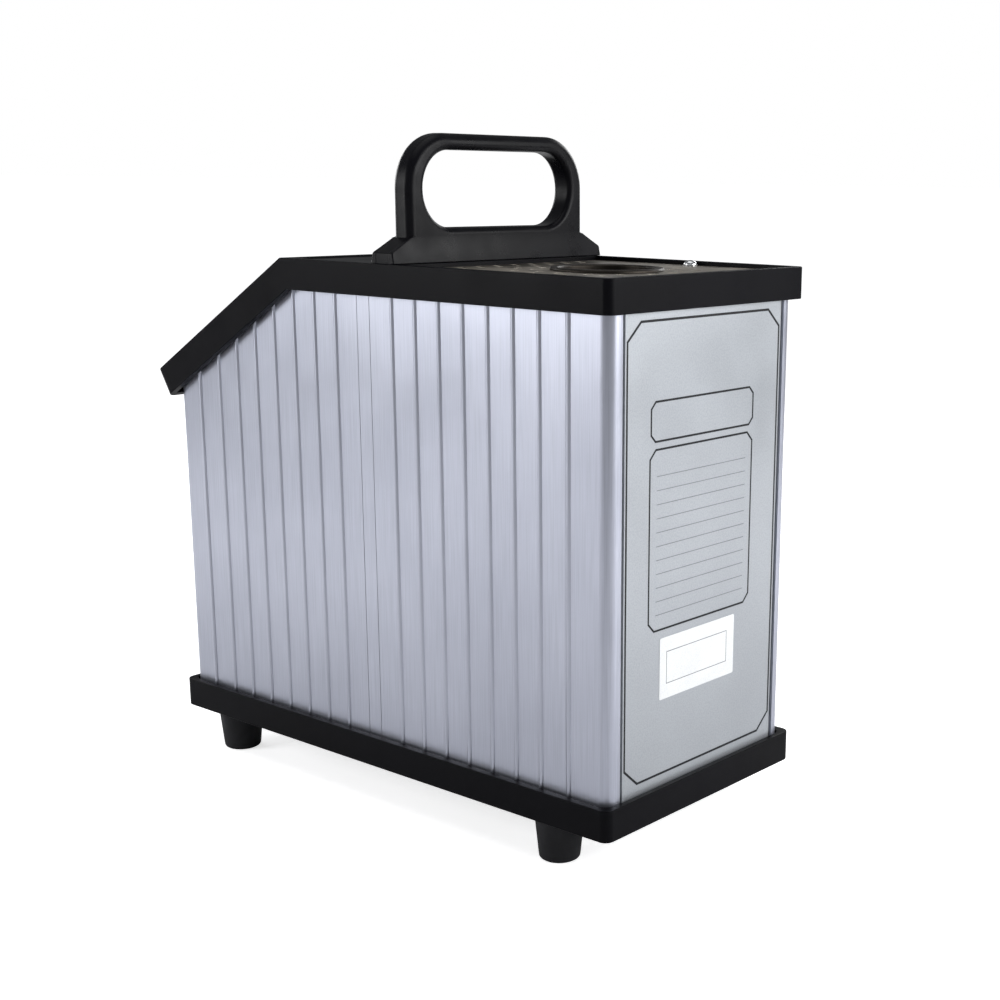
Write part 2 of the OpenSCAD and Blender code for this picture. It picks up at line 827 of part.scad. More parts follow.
module top_stud() color(bright) {
    translate([stud_x, well_y, plate_top]) {
        cylinder(r = stud_r + 0.3, h = stud_washer);
        cylinder(r = stud_r, h = stud_rim);
        translate([0, 0, stud_rim]) intersection() {
            sphere(stud_r);
            cylinder(r = stud_r, h = stud_r);
        }
        translate([0, 0, -stud_l]) cylinder(r = case_screw_r, h = stud_l + small);
    }
}

/* Handle */

// Half of the grip's section with its outer edges rounded: x from the middle outwards
module rounded_end(reach) {
    e = handle_edge;
    translate([0, -handle_t / 2]) square([reach - e, handle_t]);
    translate([0, -handle_t / 2 + e]) square([reach, handle_t - 2 * e]);
    for (y = [-1, 1]) {
        translate([reach - e, y * (handle_t / 2 - e)]) circle(e, $fn = 48);
    }
}

// The solid plate that the hand hole is cut from: a middle, two round corners and two sides
module grip_plate() {
    inner = handle_w / 2 - handle_r;
    low = top_z + flange_h - 2;
    turn_z = handle_top - handle_r;
    along_x(2 * inner) translate([handle_y, low]) rotate(90) rounded_end(handle_top - low);
    for (side = [0, 1]) {
        mirror([side, 0, 0]) {
            translate([inner, handle_y, turn_z]) rotate([90, 0, 0]) rotate_extrude(angle = 90)
                rounded_end(handle_r);
            translate([inner, handle_y, low]) linear_extrude(turn_z - low) rounded_end(handle_r);
        }
    }
}

// Half of the hand hole's section: the hole widens to both faces in a round flare
module hole_half() {
    e = handle_edge - 1;
    difference() {
        translate([0, -handle_t / 2 - cut]) square([hand_r + e, handle_t + 2 * cut]);
        translate([hand_r, -handle_t / 2 + e]) square([e + cut, handle_t - 2 * e]);
        for (y = [-1, 1]) {
            translate([hand_r + e, y * (handle_t / 2 - e)]) circle(e, $fn = 48);
        }
    }
}

module hand_hole() {
    inner = hand_w / 2 - hand_r;
    for (side = [0, 1]) {
        mirror([side, 0, 0]) translate([inner, handle_y, hand_mid]) rotate([90, 0, 0])
            rotate([0, 0, -90]) rotate_extrude(angle = 180) hole_half();
    }
    translate([0, handle_y, hand_mid]) for (up = [0, 1]) {
        mirror([0, 0, up]) along_x(2 * inner) rotate(90) hole_half();
    }
}

module handle() color(bezel_black) {
    difference() {
        union() {
            grip_plate();
            translate([0, handle_y, 0]) along_y(handle_t + 1.6) polygon([
                [-half_w, top_z + flange_h - small],
                [half_w, top_z + flange_h - small],
                [handle_w / 2, top_z + flange_h + shoulder_h],
                [-handle_w / 2, top_z + flange_h + shoulder_h]]);
            translate([-half_w, handle_y - flange_t / 2, top_z]) cube([case_w, flange_t, flange_h]);
        }
        hand_hole();
        for (x = handle_screw_xs) {
            translate([x, handle_y, top_z - cut])
                cylinder(r = handle_screw_r + screw_gap, h = handle_screw_in + 1 + cut);
        }
    }
}

module handle_screws() color(bright) {
    for (x = handle_screw_xs) {
        translate([x, handle_y, top_z - deck_t]) screw(handle_screw_r, deck_t + handle_screw_in);
    }
}

/* Block and insert */

module at_well(z) {
    translate([0, well_y, z]) children();
}

module around(n, r) {
    for (i = [0:n - 1]) {
        rotate([0, 0, i * 360 / n]) translate([r, 0, 0]) children();
    }
}

module heater_block() color(block_metal) {
    at_well(block_z) difference() {
        cylinder(r = block_r, h = block_l);
        translate([0, 0, bore_floor]) cylinder(r = bore_r, h = block_l);
        translate([0, 0, -cut]) around(4, cartridge_ring)
            cylinder(r = cartridge_r + rod_gap, h = cartridge_l - cartridge_out + cut + rod_room);
        rotate([0, 0, 45]) translate([cartridge_ring, 0, -cut])
            cylinder(r = sensor_r + rod_gap, h = sensor_l - sensor_out + cut + rod_room);
    }
}

module block_insert() color(block_metal) {
    at_well(insert_z) difference() {
        cylinder(r = insert_r, h = insert_l);
        for (i = [0:2]) {
            rotate([0, 0, 90 + i * 120]) translate([probe_ring, 0, insert_l]) {
                point_h = probe_radii[i] * tan(drill_rise);
                translate([0, 0, -probe_depth]) cylinder(r1 = 0, r2 = probe_radii[i], h = point_h);
                translate([0, 0, point_h - probe_depth]) cylinder(r = probe_radii[i], h = insert_l);
                translate([0, 0, -probe_mouth])
                    cylinder(r1 = probe_radii[i], r2 = probe_radii[i] + 2 * probe_mouth, h = 2 * probe_mouth);
            }
        }
    }
}

module heater_cartridges() color(bright) {
    at_well(block_z - cartridge_out) around(4, cartridge_ring) cylinder(r = cartridge_r, h = cartridge_l);
}

module control_sensor() color(steel) {
    at_well(block_z - sensor_out) rotate([0, 0, 45]) translate([cartridge_ring, 0, 0]) {
        cylinder(r = sensor_r, h = sensor_l);
        cylinder(r = sensor_r + 1.5, h = sensor_out - 0.5);
    }
}

module block_spool() color(ceramic_white) {
    at_well(carrier_top) difference() {
        union() {
            cylinder(r = spool_flange_r, h = spool_flange_t);
            cylinder(r = spool_r, h = spool_h);
            translate([0, 0, spool_h - spool_flange_t]) cylinder(r = spool_flange_r, h = spool_flange_t);
        }
        translate([0, 0, -cut]) cylinder(r = spool_bore_r, h = spool_h + 2 * cut);
    }
}

module carrier_plate() color(zinc) {
    at_well(pillar_top) difference() {
        translate([0, 0, carrier_t / 2]) cube([carrier_w, carrier_w, carrier_t], center = true);
        for (x = [-1, 1], y = [-1, 1]) {
            translate([x * pillar_in, y * pillar_in, -cut])
                cylinder(r = panel_screw_r + screw_gap, h = carrier_t + 2 * cut);
        }
        translate([0, 0, -cut]) rotate([0, 0, 45]) around(4, carrier_hole_ring)
            cylinder(r = carrier_hole_r, h = carrier_t + 2 * cut);
    }
}

module carrier_pillars() color(bright) {
    at_well(pan_top) for (x = [-1, 1], y = [-1, 1]) {
        translate([x * pillar_in, y * pillar_in, 0]) cylinder(r = pillar_r, h = pillar_h, $fn = 6);
    }
}

module heat_shield() color(steel) {
    mouth = well_r + collar_t + 0.3;
    tall = shield_top - carrier_top;
    at_well(carrier_top) rotate_extrude() polygon([
        [shield_r - shield_t, 0],
        [shield_r, 0],
        [shield_r, tall],
        [mouth, tall],
        [mouth, tall - shield_t],
        [shield_r - shield_t, tall - shield_t]]);
}

module block_jacket() color(fibre) {
    at_well(carrier_top) difference() {
        cylinder(r = shield_r - shield_t - 0.3, h = block_top - carrier_top + 0.7);
        translate([0, 0, -cut]) cylinder(r = block_r + 0.3, h = block_top);
    }
}

/* Fan */

module fan_frame() color(dark_plastic) {
    at_well(fan_z) {
        difference() {
            linear_extrude(fan_t) rounded_rect(fan_w, fan_w, 4);
            translate([0, 0, -cut]) cylinder(r = fan_bore, h = fan_t + 2 * cut);
            for (x = [-1, 1], y = [-1, 1]) {
                translate([x * fan_hole, y * fan_hole, -cut])
                    cylinder(r = panel_screw_r + screw_gap, h = fan_t + 2 * cut);
            }
        }
        difference() {
            union() {
                cylinder(r = hub_r, h = spider_t);
                intersection() {
                    rotate([0, 0, 45]) around(4, 0) translate([0, -spider_w / 2, 0])
                        cube([fan_bore + 2, spider_w, spider_t]);
                    cylinder(r = fan_bore + 1, h = spider_t);
                }
                cylinder(r = shaft_r + 2, h = 2 * spider_t);
            }
            translate([0, 0, 1]) cylinder(r = shaft_r + shaft_gap, h = fan_t);
        }
    }
}

module fan_rotor() color(dark_plastic) {
    at_well(fan_z + fan_t - 1 - hub_h) {
        difference() {
            cylinder(r = hub_r, h = hub_h);
            translate([0, 0, -cut]) cylinder(r = hub_r - hub_t, h = hub_h - 1);
        }
        translate([0, 0, 1.3 - (fan_t - 1 - hub_h)]) cylinder(r = shaft_r, h = fan_t - 3);
        intersection() {
            difference() {
                cylinder(r = blade_r, h = hub_h);
                translate([0, 0, -cut]) cylinder(r = hub_r - hub_t / 2, h = hub_h + 2 * cut);
            }
            around(fan_blades, hub_r - 2) rotate([blade_tilt, 0, 0])
                translate([0, -blade_t / 2, -fan_t]) cube([blade_r, blade_t, 3 * fan_t]);
        }
    }
}

module fan_guard() color(bright) {
    translate([0, well_y, floor_z - guard_t]) linear_extrude(guard_t) {
        difference() {
            union() {
                for (r = guard_rings) {
                    difference() {
                        circle(r + guard_wire / 2);
                        circle(r - guard_wire / 2);
                    }
                }
                circle(guard_hub);
                for (turn = [45, 135]) {
                    rotate(turn) square([2 * fan_hole * sqrt(2), 3], center = true);
                }
                for (x = [-1, 1], y = [-1, 1]) {
                    translate([x * fan_hole, y * fan_hole]) circle(guard_eye);
                }
            }
            for (x = [-1, 1], y = [-1, 1]) {
                translate([x * fan_hole, y * fan_hole]) circle(panel_screw_r + screw_gap);
            }
        }
    }
}

/* Electronics bay */

module bulkhead() color(zinc) {
    half = side_x - groove_in - trap_t - 1;
    difference() {
        union() {
            translate([-half, bulkhead_y, pan_top]) cube([2 * half, sheet_t, seat_z - pan_top - 0.3]);
            translate([-pan_w / 2, bulkhead_y - bulkhead_foot, pan_top])
                cube([pan_w, bulkhead_foot + small, sheet_t]);
        }
        for (x = [-1, 0, 1], z = [0:5]) {
            translate([x * 1.5 * louvre_w - louvre_w / 2, bulkhead_y - cut, seat_z - 20 - z * louvre_pitch])
                cube([louvre_w, sheet_t + 2 * cut, louvre_h]);
        }
    }
}

module relay_heatsink() color(anodised) {
    pitch = (sink_w - fin_t) / (sink_fins - 1);
    translate([-sink_w / 2, sink_front, sink_z]) {
        cube([sink_w, sink_base, sink_h]);
        for (i = [0:sink_fins - 1]) {
            translate([i * pitch, sink_base - small, 0]) cube([fin_t, fin_l + small, sink_h]);
        }
    }
}

module solid_state_relay() color(dark_plastic) {
    translate([0, sink_front - relay_t, sink_z + sink_h / 2]) {
        translate([-relay_w / 2, 0, -relay_h / 2]) cube([relay_w, relay_t, relay_h]);
        for (x = [-1, 1], z = [-1, 1]) {
            translate([x * (relay_w / 2 - 9), small, z * (relay_h / 2 - 6)]) rotate([90, 0, 0])
                cylinder(r = relay_stud_r, h = 2);
        }
    }
}

/* Instruments */

module at_meter(index) {
    on_slope() translate([0, -meter_first - index * meter_pitch, 0]) children();
}

module box_at(w, h, low, high) {
    translate([-w / 2, -h / 2, low]) cube([w, h, high - low]);
}

module meter_bezel(index) color(dark_plastic) {
    inner = meter_front - meter_skin;
    at_meter(index) difference() {
        union() {
            translate([0, 0, panel_face]) linear_extrude(meter_face)
                rounded_rect(meter_w, meter_h, meter_corner);
            box_at(meter_case_w, meter_case_h, meter_split, panel_face + small);
        }
        box_at(meter_case_w - 2 * meter_wall, meter_case_h - 2 * meter_wall, meter_split - cut, inner);
        translate([0, window_up, 0]) box_at(window_w, window_h, 0, meter_front + cut);
        for (i = [-1:1]) {
            translate([i * key_pitch, -key_down, 0])
                box_at(key_w + 2 * key_gap, key_h + 2 * key_gap, 0, meter_front + cut);
        }
    }
}

module meter_case(index) color(dark_plastic) {
    at_meter(index) difference() {
        box_at(meter_case_w, meter_case_h, -recess_d - meter_depth, meter_split);
        box_at(meter_case_w - 2 * meter_wall, meter_case_h - 2 * meter_wall,
            -recess_d - meter_depth + meter_wall, meter_split + cut);
        for (i = [-4:4]) {
            translate([i * meter_slot_pitch, 0, -recess_d - meter_depth + 20])
                cube([meter_slot_w, meter_case_h + 2, meter_slot_l], center = true);
        }
    }
}

module meter_window(index) color(window_tint) {
    inner = meter_front - meter_skin;
    at_meter(index) translate([0, window_up, 0]) {
        box_at(window_w - 0.4, window_h - 0.4, inner - 0.2, meter_front - 0.5);
        box_at(window_w + 2 * window_lip, window_h + 2 * window_lip, inner - 1.6, inner - 0.1);
    }
}

// The keys' travel ends when their skirt has moved back by key_travel
module meter_key(index, place) color(key_grey) {
    inner = meter_front - meter_skin;
    at_meter(index) translate([place * key_pitch, -key_down, 0]) {
        translate([0, 0, inner - 0.2]) linear_extrude(meter_front + key_proud - inner + 0.2)
            rounded_rect(key_w, key_h, key_corner);
        box_at(key_w + 2 * key_lip, key_h + 2 * key_lip, inner - 0.1 - key_lip, inner - 0.1);
    }
}

module indicator_bezel() meter_bezel(0);
module indicator_case() meter_case(0);
module indicator_window() meter_window(0);
module indicator_key_left() meter_key(0, -1);
module indicator_key_middle() meter_key(0, 0);
module indicator_key_right() meter_key(0, 1);
module controller_bezel() meter_bezel(1);
module controller_case() meter_case(1);
module controller_window() meter_window(1);
module controller_key_left() meter_key(1, -1);
module controller_key_middle() meter_key(1, 0);
module controller_key_right() meter_key(1, 1);

/* Front fittings */

module at_front(x, z) {
    translate([x, front_skin, z]) children();
}

module power_switch_frame() color(dark_plastic) {
    at_front(-switch_x, rocker_z) difference() {
        union() {
            rotate([90, 0, 0]) linear_extrude(2) rounded_rect(switch_w, switch_h, 2);
            translate([-switch_body_w / 2, -small, -switch_body_h / 2])
                cube([switch_body_w, switch_body_l, switch_body_h]);
        }
        translate([-rocker_w / 2 - rocker_gap, -5, -rocker_r - rocker_gap])
            cube([rocker_w + 2 * rocker_gap, switch_body_l - 2, 2 * (rocker_r + rocker_gap)]);
        translate([0, rocker_pivot, 0]) rotate([0, 90, 0])
            cylinder(r = pivot_r + pivot_gap, h = rocker_w + 2.4, center = true);
    }
}

// The rocker at rest leans with its lower half pressed in
module power_switch_rocker() color("#8f1a1a") {
    reach = rocker_pivot + 3;
    at_front(-switch_x, rocker_z) translate([0, rocker_pivot, 0]) rotate([rocker_tilt, 0, 0]) {
        intersection() {
            rotate([0, 90, 0]) cylinder(r = rocker_r, h = rocker_w, center = true);
            along_x(rocker_w) polygon([
                [rocker_back, -rocker_r],
                [rocker_back, rocker_r],
                [-reach - rocker_r * tan(rocker_tilt), rocker_r],
                [-reach, 0],
                [-reach - rocker_r * tan(rocker_tilt), -rocker_r]]);
        }
        rotate([0, 90, 0]) cylinder(r = pivot_r, h = rocker_w + 2, center = true);
    }
}

module sensor_socket() color("#7a6a2f") {
    at_front(socket_x, rocker_z) difference() {
        union() {
            translate([-socket_w / 2, -fitting_t, -socket_h / 2]) cube([socket_w, fitting_t, socket_h]);
            translate([-socket_body_w / 2, -small, -socket_body_h / 2])
                cube([socket_body_w, socket_body_l, socket_body_h]);
        }
        for (s = socket_slots) {
            translate([s[0] - socket_slot_w / 2, -cut - fitting_t, -s[1] / 2])
                cube([socket_slot_w, socket_body_l - 1, s[1]]);
        }
    }
}

module mains_inlet() color(dark_plastic) {
    at_front(0, inlet_mid) difference() {
        union() {
            rotate([90, 0, 0]) linear_extrude(fitting_t) rounded_rect(inlet_w, inlet_h, 4);
            translate([-inlet_body_w / 2, -small, -inlet_body_h / 2])
                cube([inlet_body_w, inlet_body_l, inlet_body_h]);
        }
        translate([0, inlet_depth / 2 - fitting_t - cut / 2, inlet_hole_z]) difference() {
            cube([inlet_hole_w, inlet_depth + cut, inlet_hole_h], center = true);
            for (side = [-1, 1]) {
                translate([side * inlet_hole_w / 2, 0, inlet_hole_h / 2]) rotate([0, 45, 0])
                    cube([6, inlet_depth + 2, 6], center = true);
            }
        }
        translate([-drawer_w / 2 - 0.2, -fitting_t - cut, -drawer_drop - drawer_h / 2 - 0.2])
            cube([drawer_w + 0.4, drawer_l + 0.5 + cut, drawer_h + 0.4]);
        for (x = [-1, 1]) {
            translate([x * inlet_screw_x, -fitting_t - cut, 0]) rotate([-90, 0, 0])
                cylinder(r = panel_screw_r + screw_gap, h = 10);
        }
    }
}

module inlet_pins() color("#c9b36a") {
    at_front(0, inlet_mid + inlet_hole_z) for (p = [[-7, -1.5], [0, 2.5], [7, -1.5]]) {
        translate([p[0] - blade_w / 2, inlet_depth - fitting_t - blade_l, p[1] - blade_w])
            cube([blade_w, blade_l, 2 * blade_w]);
    }
}

module fuse_drawer() color(dark_plastic) {
    at_front(0, inlet_mid - drawer_drop) difference() {
        translate([-drawer_w / 2, -drawer_out, -drawer_h / 2]) cube([drawer_w, drawer_l + 0.6, drawer_h]);
        translate([-fuse_w / 2, 3 - drawer_out, 2 - drawer_h / 2]) cube([fuse_w, drawer_l - 6, drawer_h]);
        translate([-fuse_w / 4, -5, drawer_h / 2 - 1.4]) cube([fuse_w / 2, 3, 3]);
    }
}

module panel_screws() color(bright) {
    at_panel_corners() translate([0, 0, panel_face]) mirror([0, 0, 1]) screw(panel_screw_r, stud_l);
    for (x = [-1, 1]) {
        at_front(x * inlet_screw_x, inlet_mid) translate([0, -fitting_t, 0]) rotate([-90, 0, 0])
            screw(panel_screw_r, 9);
    }
    for (x = [-1, 1], y = [-1, 1]) {
        translate([x * fan_hole, well_y + y * fan_hole, floor_z - guard_t]) screw(panel_screw_r, fan_t / 2);
        translate([x * pillar_in, well_y + y * pillar_in, carrier_top]) mirror([0, 0, 1])
            screw(panel_screw_r, carrier_t);
    }
}

base_bezel();
floor_pan();
foot_front_left();
foot_front_right();
foot_rear_left();
foot_rear_right();
case_screws();
side_panel_left_front();
side_panel_left_rear();
side_panel_right_front();
side_panel_right_rear();
side_joiner_left();
side_joiner_right();
corner_post_front_left();
corner_post_front_right();
corner_post_rear_left();
corner_post_rear_right();
rear_panel();
front_panel();
top_bezel();
control_panel();
top_plate();
well_collar();
top_stud();
handle();
handle_screws();
panel_screws();
heater_block();
block_insert();
heater_cartridges();
block_spool();
carrier_plate();
carrier_pillars();
block_jacket();
heat_shield();
control_sensor();
fan_frame();
fan_rotor();
fan_guard();
bulkhead();
relay_heatsink();
solid_state_relay();
indicator_bezel();
indicator_case();
indicator_window();
indicator_key_left();
indicator_key_middle();
indicator_key_right();
controller_bezel();
controller_case();
controller_window();
controller_key_left();
controller_key_middle();
controller_key_right();
power_switch_frame();
power_switch_rocker();
mains_inlet();
inlet_pins();
fuse_drawer();
sensor_socket();
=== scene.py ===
"""Looks of a portable dry block heater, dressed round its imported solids.

Sizes are in millimetres in the row frame (+Z up, the sloping panel faces -Y) and
become metres when a mesh is made.
"""

import json
import logging
from collections.abc import Callable, Iterable, Sequence
from dataclasses import dataclass, field
from enum import Enum
from math import cos, pi, radians, sin, tan

import bmesh
import bpy
import numpy as np
from mathutils import Matrix, Vector


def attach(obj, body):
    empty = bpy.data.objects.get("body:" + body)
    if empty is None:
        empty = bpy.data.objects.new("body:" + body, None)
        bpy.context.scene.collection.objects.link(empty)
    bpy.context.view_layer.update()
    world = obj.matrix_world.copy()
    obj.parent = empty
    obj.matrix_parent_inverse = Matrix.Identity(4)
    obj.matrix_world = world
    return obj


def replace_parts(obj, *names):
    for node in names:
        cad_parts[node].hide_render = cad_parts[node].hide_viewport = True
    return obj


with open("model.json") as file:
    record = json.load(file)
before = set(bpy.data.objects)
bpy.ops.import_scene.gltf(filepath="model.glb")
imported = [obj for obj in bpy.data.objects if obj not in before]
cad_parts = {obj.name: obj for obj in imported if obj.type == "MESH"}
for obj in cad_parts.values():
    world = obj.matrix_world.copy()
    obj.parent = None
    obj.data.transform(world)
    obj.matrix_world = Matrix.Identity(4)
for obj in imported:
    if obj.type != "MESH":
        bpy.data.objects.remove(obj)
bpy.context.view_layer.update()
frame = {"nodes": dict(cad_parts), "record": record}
MM = 0.001
SLOPE = radians(31.1)  # angle of the sloping panel below level
SUNK = -0.01  # how far the back of a print sits in what carries it, in millimetres
log = logging.getLogger("dry_block_heater")
Array = np.ndarray
Pair, Point = tuple[float, float], tuple[float, float, float]
Four = tuple[float, float, float, float]
Tree, Node, Socket = bpy.types.NodeTree, bpy.types.Node, bpy.types.NodeSocket
Material, Thing = bpy.types.Material, bpy.types.Object


# ---- small tools


def tone(code: str) -> Four:
    """Turns an sRGB hex colour into linear light.

    Args:
        code: Six hex digits after a hash.

    Returns:
        Linear red, green, blue and an alpha of 1.
    """
    parts = [int(code[i:i + 2], 16) / 255 for i in (1, 3, 5)]
    lin = [c / 12.92 if c <= 0.04045 else ((c + 0.055) / 1.055) ** 2.4 for c in parts]
    return lin[0], lin[1], lin[2], 1.0


def add(tree: Tree, kind: str, feeds: dict | None = None, sockets: dict | None = None,
        **settings: object) -> Node:
    """Adds one shader node with its settings and links.

    Args:
        tree: Node tree it goes into.
        kind: Node type without the ShaderNode prefix.
        feeds: Input name or number to the output socket that feeds it.
        sockets: Input name or number to its constant value.
        **settings: Properties of the node itself.

    Returns:
        The new node.
    """
    made = tree.nodes.new("ShaderNode" + kind)
    for key, value in settings.items():
        setattr(made, key, value)
    for key, value in (sockets or {}).items():
        made.inputs[key].default_value = value
    for key, source in (feeds or {}).items():
        tree.links.new(source, made.inputs[key])
    return made


def placed(name: str, data: bpy.types.ID) -> Thing:
    """Returns a new object at the origin, in the scene."""
    made = bpy.data.objects.new(name, data)
    bpy.context.scene.collection.objects.link(made)
    return made


def shade(mesh: bpy.types.Mesh, limit: float) -> None:
    """Shades a mesh smooth, but for its edges sharper than a limit in degrees."""
    mesh.polygons.foreach_set("use_smooth", np.ones(len(mesh.polygons), bool))
    mesh.set_sharp_from_angle(angle=radians(limit))


def carrier_of(node: str) -> str:
    """Returns the name of the body that carries a CAD node."""
    bodies = frame["record"]["behaviour"]["bodies"]
    return next(name for name, nodes in bodies.items() if node in nodes)


class Weave(Enum):
    """How the grain of a finish is drawn out."""

    EVEN = (1.0, 1.0, 1.0)
    UPRIGHT = (1.0, 1.0, 0.012)
    ACROSS = (0.02, 1.0, 1.0)


# ---- finishes

TONE_BAND = (0.32, 0.68)  # broad noise at which one tone has given way to the other
# Pits darker and skin lighter by the grain's height: painted shade and painted light at the scale
# of the grain.
PIT_BAND, PIT_LIGHT = (0.3, 0.6), (0.9, 1.04)  # grain height of pit and skin, and the light of each
RANGE = ("From Min", "From Max", "To Min", "To Max")
GLOSS_BAND, GLOSS_SIZE = (0.3, 0.7), 0.4  # noise that moves the gloss, and its size in patches
COAT_ROUGH = 0.12


@dataclass(frozen=True)
class Finish:
    """A solid finish: broad patches of two tones, a grain in relief, and wandering gloss.

    Attributes:
        name: Material name.
        colour, shade: The two tones of the broad patches, sRGB hex.
        rough, wander: Middle roughness, and how far it moves either side.
        metallic: 1 for bare metal.
        grain, relief, patch: Size of the grain, its height, and the size of the patches.
        weave: How the grain is drawn out.
        coat, sheen: Weights of a clear coat and of a soft edge sheen.
        ior: Index of refraction, for what isn't metal.
        lean: Anisotropy of drawn or brushed metal.
        shine: Strength of the reflection off its skin, 0.5 for a smooth one.
    """

    name: str
    colour: str
    shade: str
    rough: float
    wander: float = 0.05
    metallic: float = 0.0
    grain: float = 0.5
    relief: float = 0.003
    patch: float = 10.0
    weave: Weave = Weave.EVEN
    coat: float = 0.0
    sheen: float = 0.0
    ior: float = 1.5
    lean: float = 0.0
    shine: float = 0.5

    def grain_of(self, tree: Tree, place: Socket) -> Socket:
        """Returns the height of the fine grain, 0 to 1."""
        drawn = add(tree, "Mapping", {"Vector": place}, {"Scale": self.weave.value})
        fine = add(tree, "TexNoise", {"Vector": drawn.outputs[0]},
                   {"Scale": 1 / (self.grain * MM), "Detail": 2.5, "Roughness": 0.55})
        return fine.outputs["Fac"]

    def colour_of(self, tree: Tree, place: Socket, height: Socket) -> Socket:
        """Returns the two tones mixed by broad noise, with painted shade in the grain's pits and
        painted light on its skin.
        """
        broad = add(tree, "TexNoise", {"Vector": place},
                    {"Scale": 1 / (self.patch * MM), "Detail": 3.0})
        soft = add(tree, "MapRange", {"Value": broad.outputs["Fac"]}, dict(zip(RANGE, TONE_BAND)))
        tones = self.mix(tree, soft.outputs[0], self.colour, self.shade)
        # Painted shade in the pits, painted light on the skin.
        pits = add(tree, "MapRange", {"Value": height}, dict(zip(RANGE, PIT_BAND + PIT_LIGHT)))
        lit = add(tree, "VectorMath", {0: tones, 1: pits.outputs[0]}, operation="MULTIPLY")
        return lit.outputs[0]

    def mix(self, tree: Tree, amount: Socket, first: str, second: str) -> Socket:
        """Returns the mix of two hex colours by an amount, as a colour ramp of two stops."""
        ramp = add(tree, "ValToRGB", {"Fac": amount})
        ramp.color_ramp.elements[0].color = tone(first)
        ramp.color_ramp.elements[1].color = tone(second)
        return ramp.outputs["Color"]

    def extras(self, tree: Tree, shader: Node, place: Socket) -> None:
        """Adds what a kind of finish has of its own; the plain one has nothing."""

    def build(self) -> Material:
        """Returns the Blender material, made once."""
        known = bpy.data.materials.get(self.name)
        if known:
            return known
        made = bpy.data.materials.new(self.name)
        made.use_nodes = True
        tree = made.node_tree
        tree.nodes.clear()
        place = add(tree, "TexCoord").outputs["Object"]
        height = self.grain_of(tree, place)
        cloud = add(tree, "TexNoise", {"Vector": place},
                    {"Scale": 1 / (GLOSS_SIZE * self.patch * MM), "Detail": 4.0})
        ends = (self.rough - self.wander, self.rough + self.wander)
        gloss = add(tree, "MapRange", {"Value": cloud.outputs["Fac"]},
                    dict(zip(RANGE, GLOSS_BAND + ends)))
        bump = add(tree, "Bump", {"Height": height},
                   {"Strength": 1.0, "Distance": self.relief * MM})
        shader = add(tree, "BsdfPrincipled",
                     {"Base Color": self.colour_of(tree, place, height),
                      "Roughness": gloss.outputs[0], "Normal": bump.outputs[0]},
                     {"Metallic": self.metallic, "Coat Weight": self.coat,
                      "Coat Roughness": COAT_ROUGH, "Sheen Weight": self.sheen, "IOR": self.ior,
                      "Anisotropic": self.lean, "Specular IOR Level": self.shine})
        self.extras(tree, shader, place)
        add(tree, "OutputMaterial", {"Surface": shader.outputs[0]})
        return made


@dataclass(frozen=True)
class Turned(Finish):
    """Metal turned in a lathe: fine rings round an upright axis.

    Attributes:
        axis: X and Y of the axis.
    """

    axis: Pair = (0.0, 94.118)

    def grain_of(self, tree: Tree, place: Socket) -> Socket:
        """Returns ring heights: noise along the distance from the axis and the height."""
        centred = add(tree, "Mapping", {"Vector": place},
                      {"Location": (-self.axis[0] * MM, -self.axis[1] * MM, 0.0)})
        parts = add(tree, "SeparateXYZ", {"Vector": centred.outputs[0]})
        flat = add(tree, "CombineXYZ", {"X": parts.outputs["X"], "Y": parts.outputs["Y"]})
        reach = add(tree, "VectorMath", {0: flat.outputs[0]}, operation="LENGTH")
        both = add(tree, "CombineXYZ", {"X": reach.outputs["Value"], "Z": parts.outputs["Z"]})
        rings = add(tree, "TexNoise", {"Vector": both.outputs[0]},
                    {"Scale": 1 / (self.grain * MM), "Detail": 2.0})
        return rings.outputs["Fac"]


@dataclass(frozen=True)
class Spangled(Finish):
    """Zinc on steel sheet: crystal flakes, each with its own tone.

    Attributes:
        flake: Width of a flake.
    """

    flake: float = 7.0

    def colour_of(self, tree: Tree, place: Socket, height: Socket) -> Socket:
        """Returns a tone for each flake."""
        flakes = add(tree, "TexVoronoi", {"Vector": place}, {"Scale": 1 / (self.flake * MM)})
        grey = add(tree, "RGBToBW", {"Color": flakes.outputs["Color"]})
        return self.mix(tree, grey.outputs[0], self.colour, self.shade)


@dataclass(frozen=True)
class Felted(Finish):
    """Needled felt: short fibres lying every way, with a soft sheen."""

    def grain_of(self, tree: Tree, place: Socket) -> Socket:
        """Returns fibre heights from strongly warped noise."""
        fibres = add(tree, "TexNoise", {"Vector": place},
                     {"Scale": 1 / (self.grain * MM), "Detail": 6.0, "Roughness": 0.7,
                      "Distortion": 2.5})
        return fibres.outputs["Fac"]


@dataclass(frozen=True)
class Tinted(Finish):
    """A clear tinted window, nearly smooth.

    Attributes:
        clear: Share of the light that goes through.
    """

    clear: float = 0.92

    def extras(self, tree: Tree, shader: Node, place: Socket) -> None:
        """Lets light through."""
        shader.inputs["Transmission Weight"].default_value = self.clear


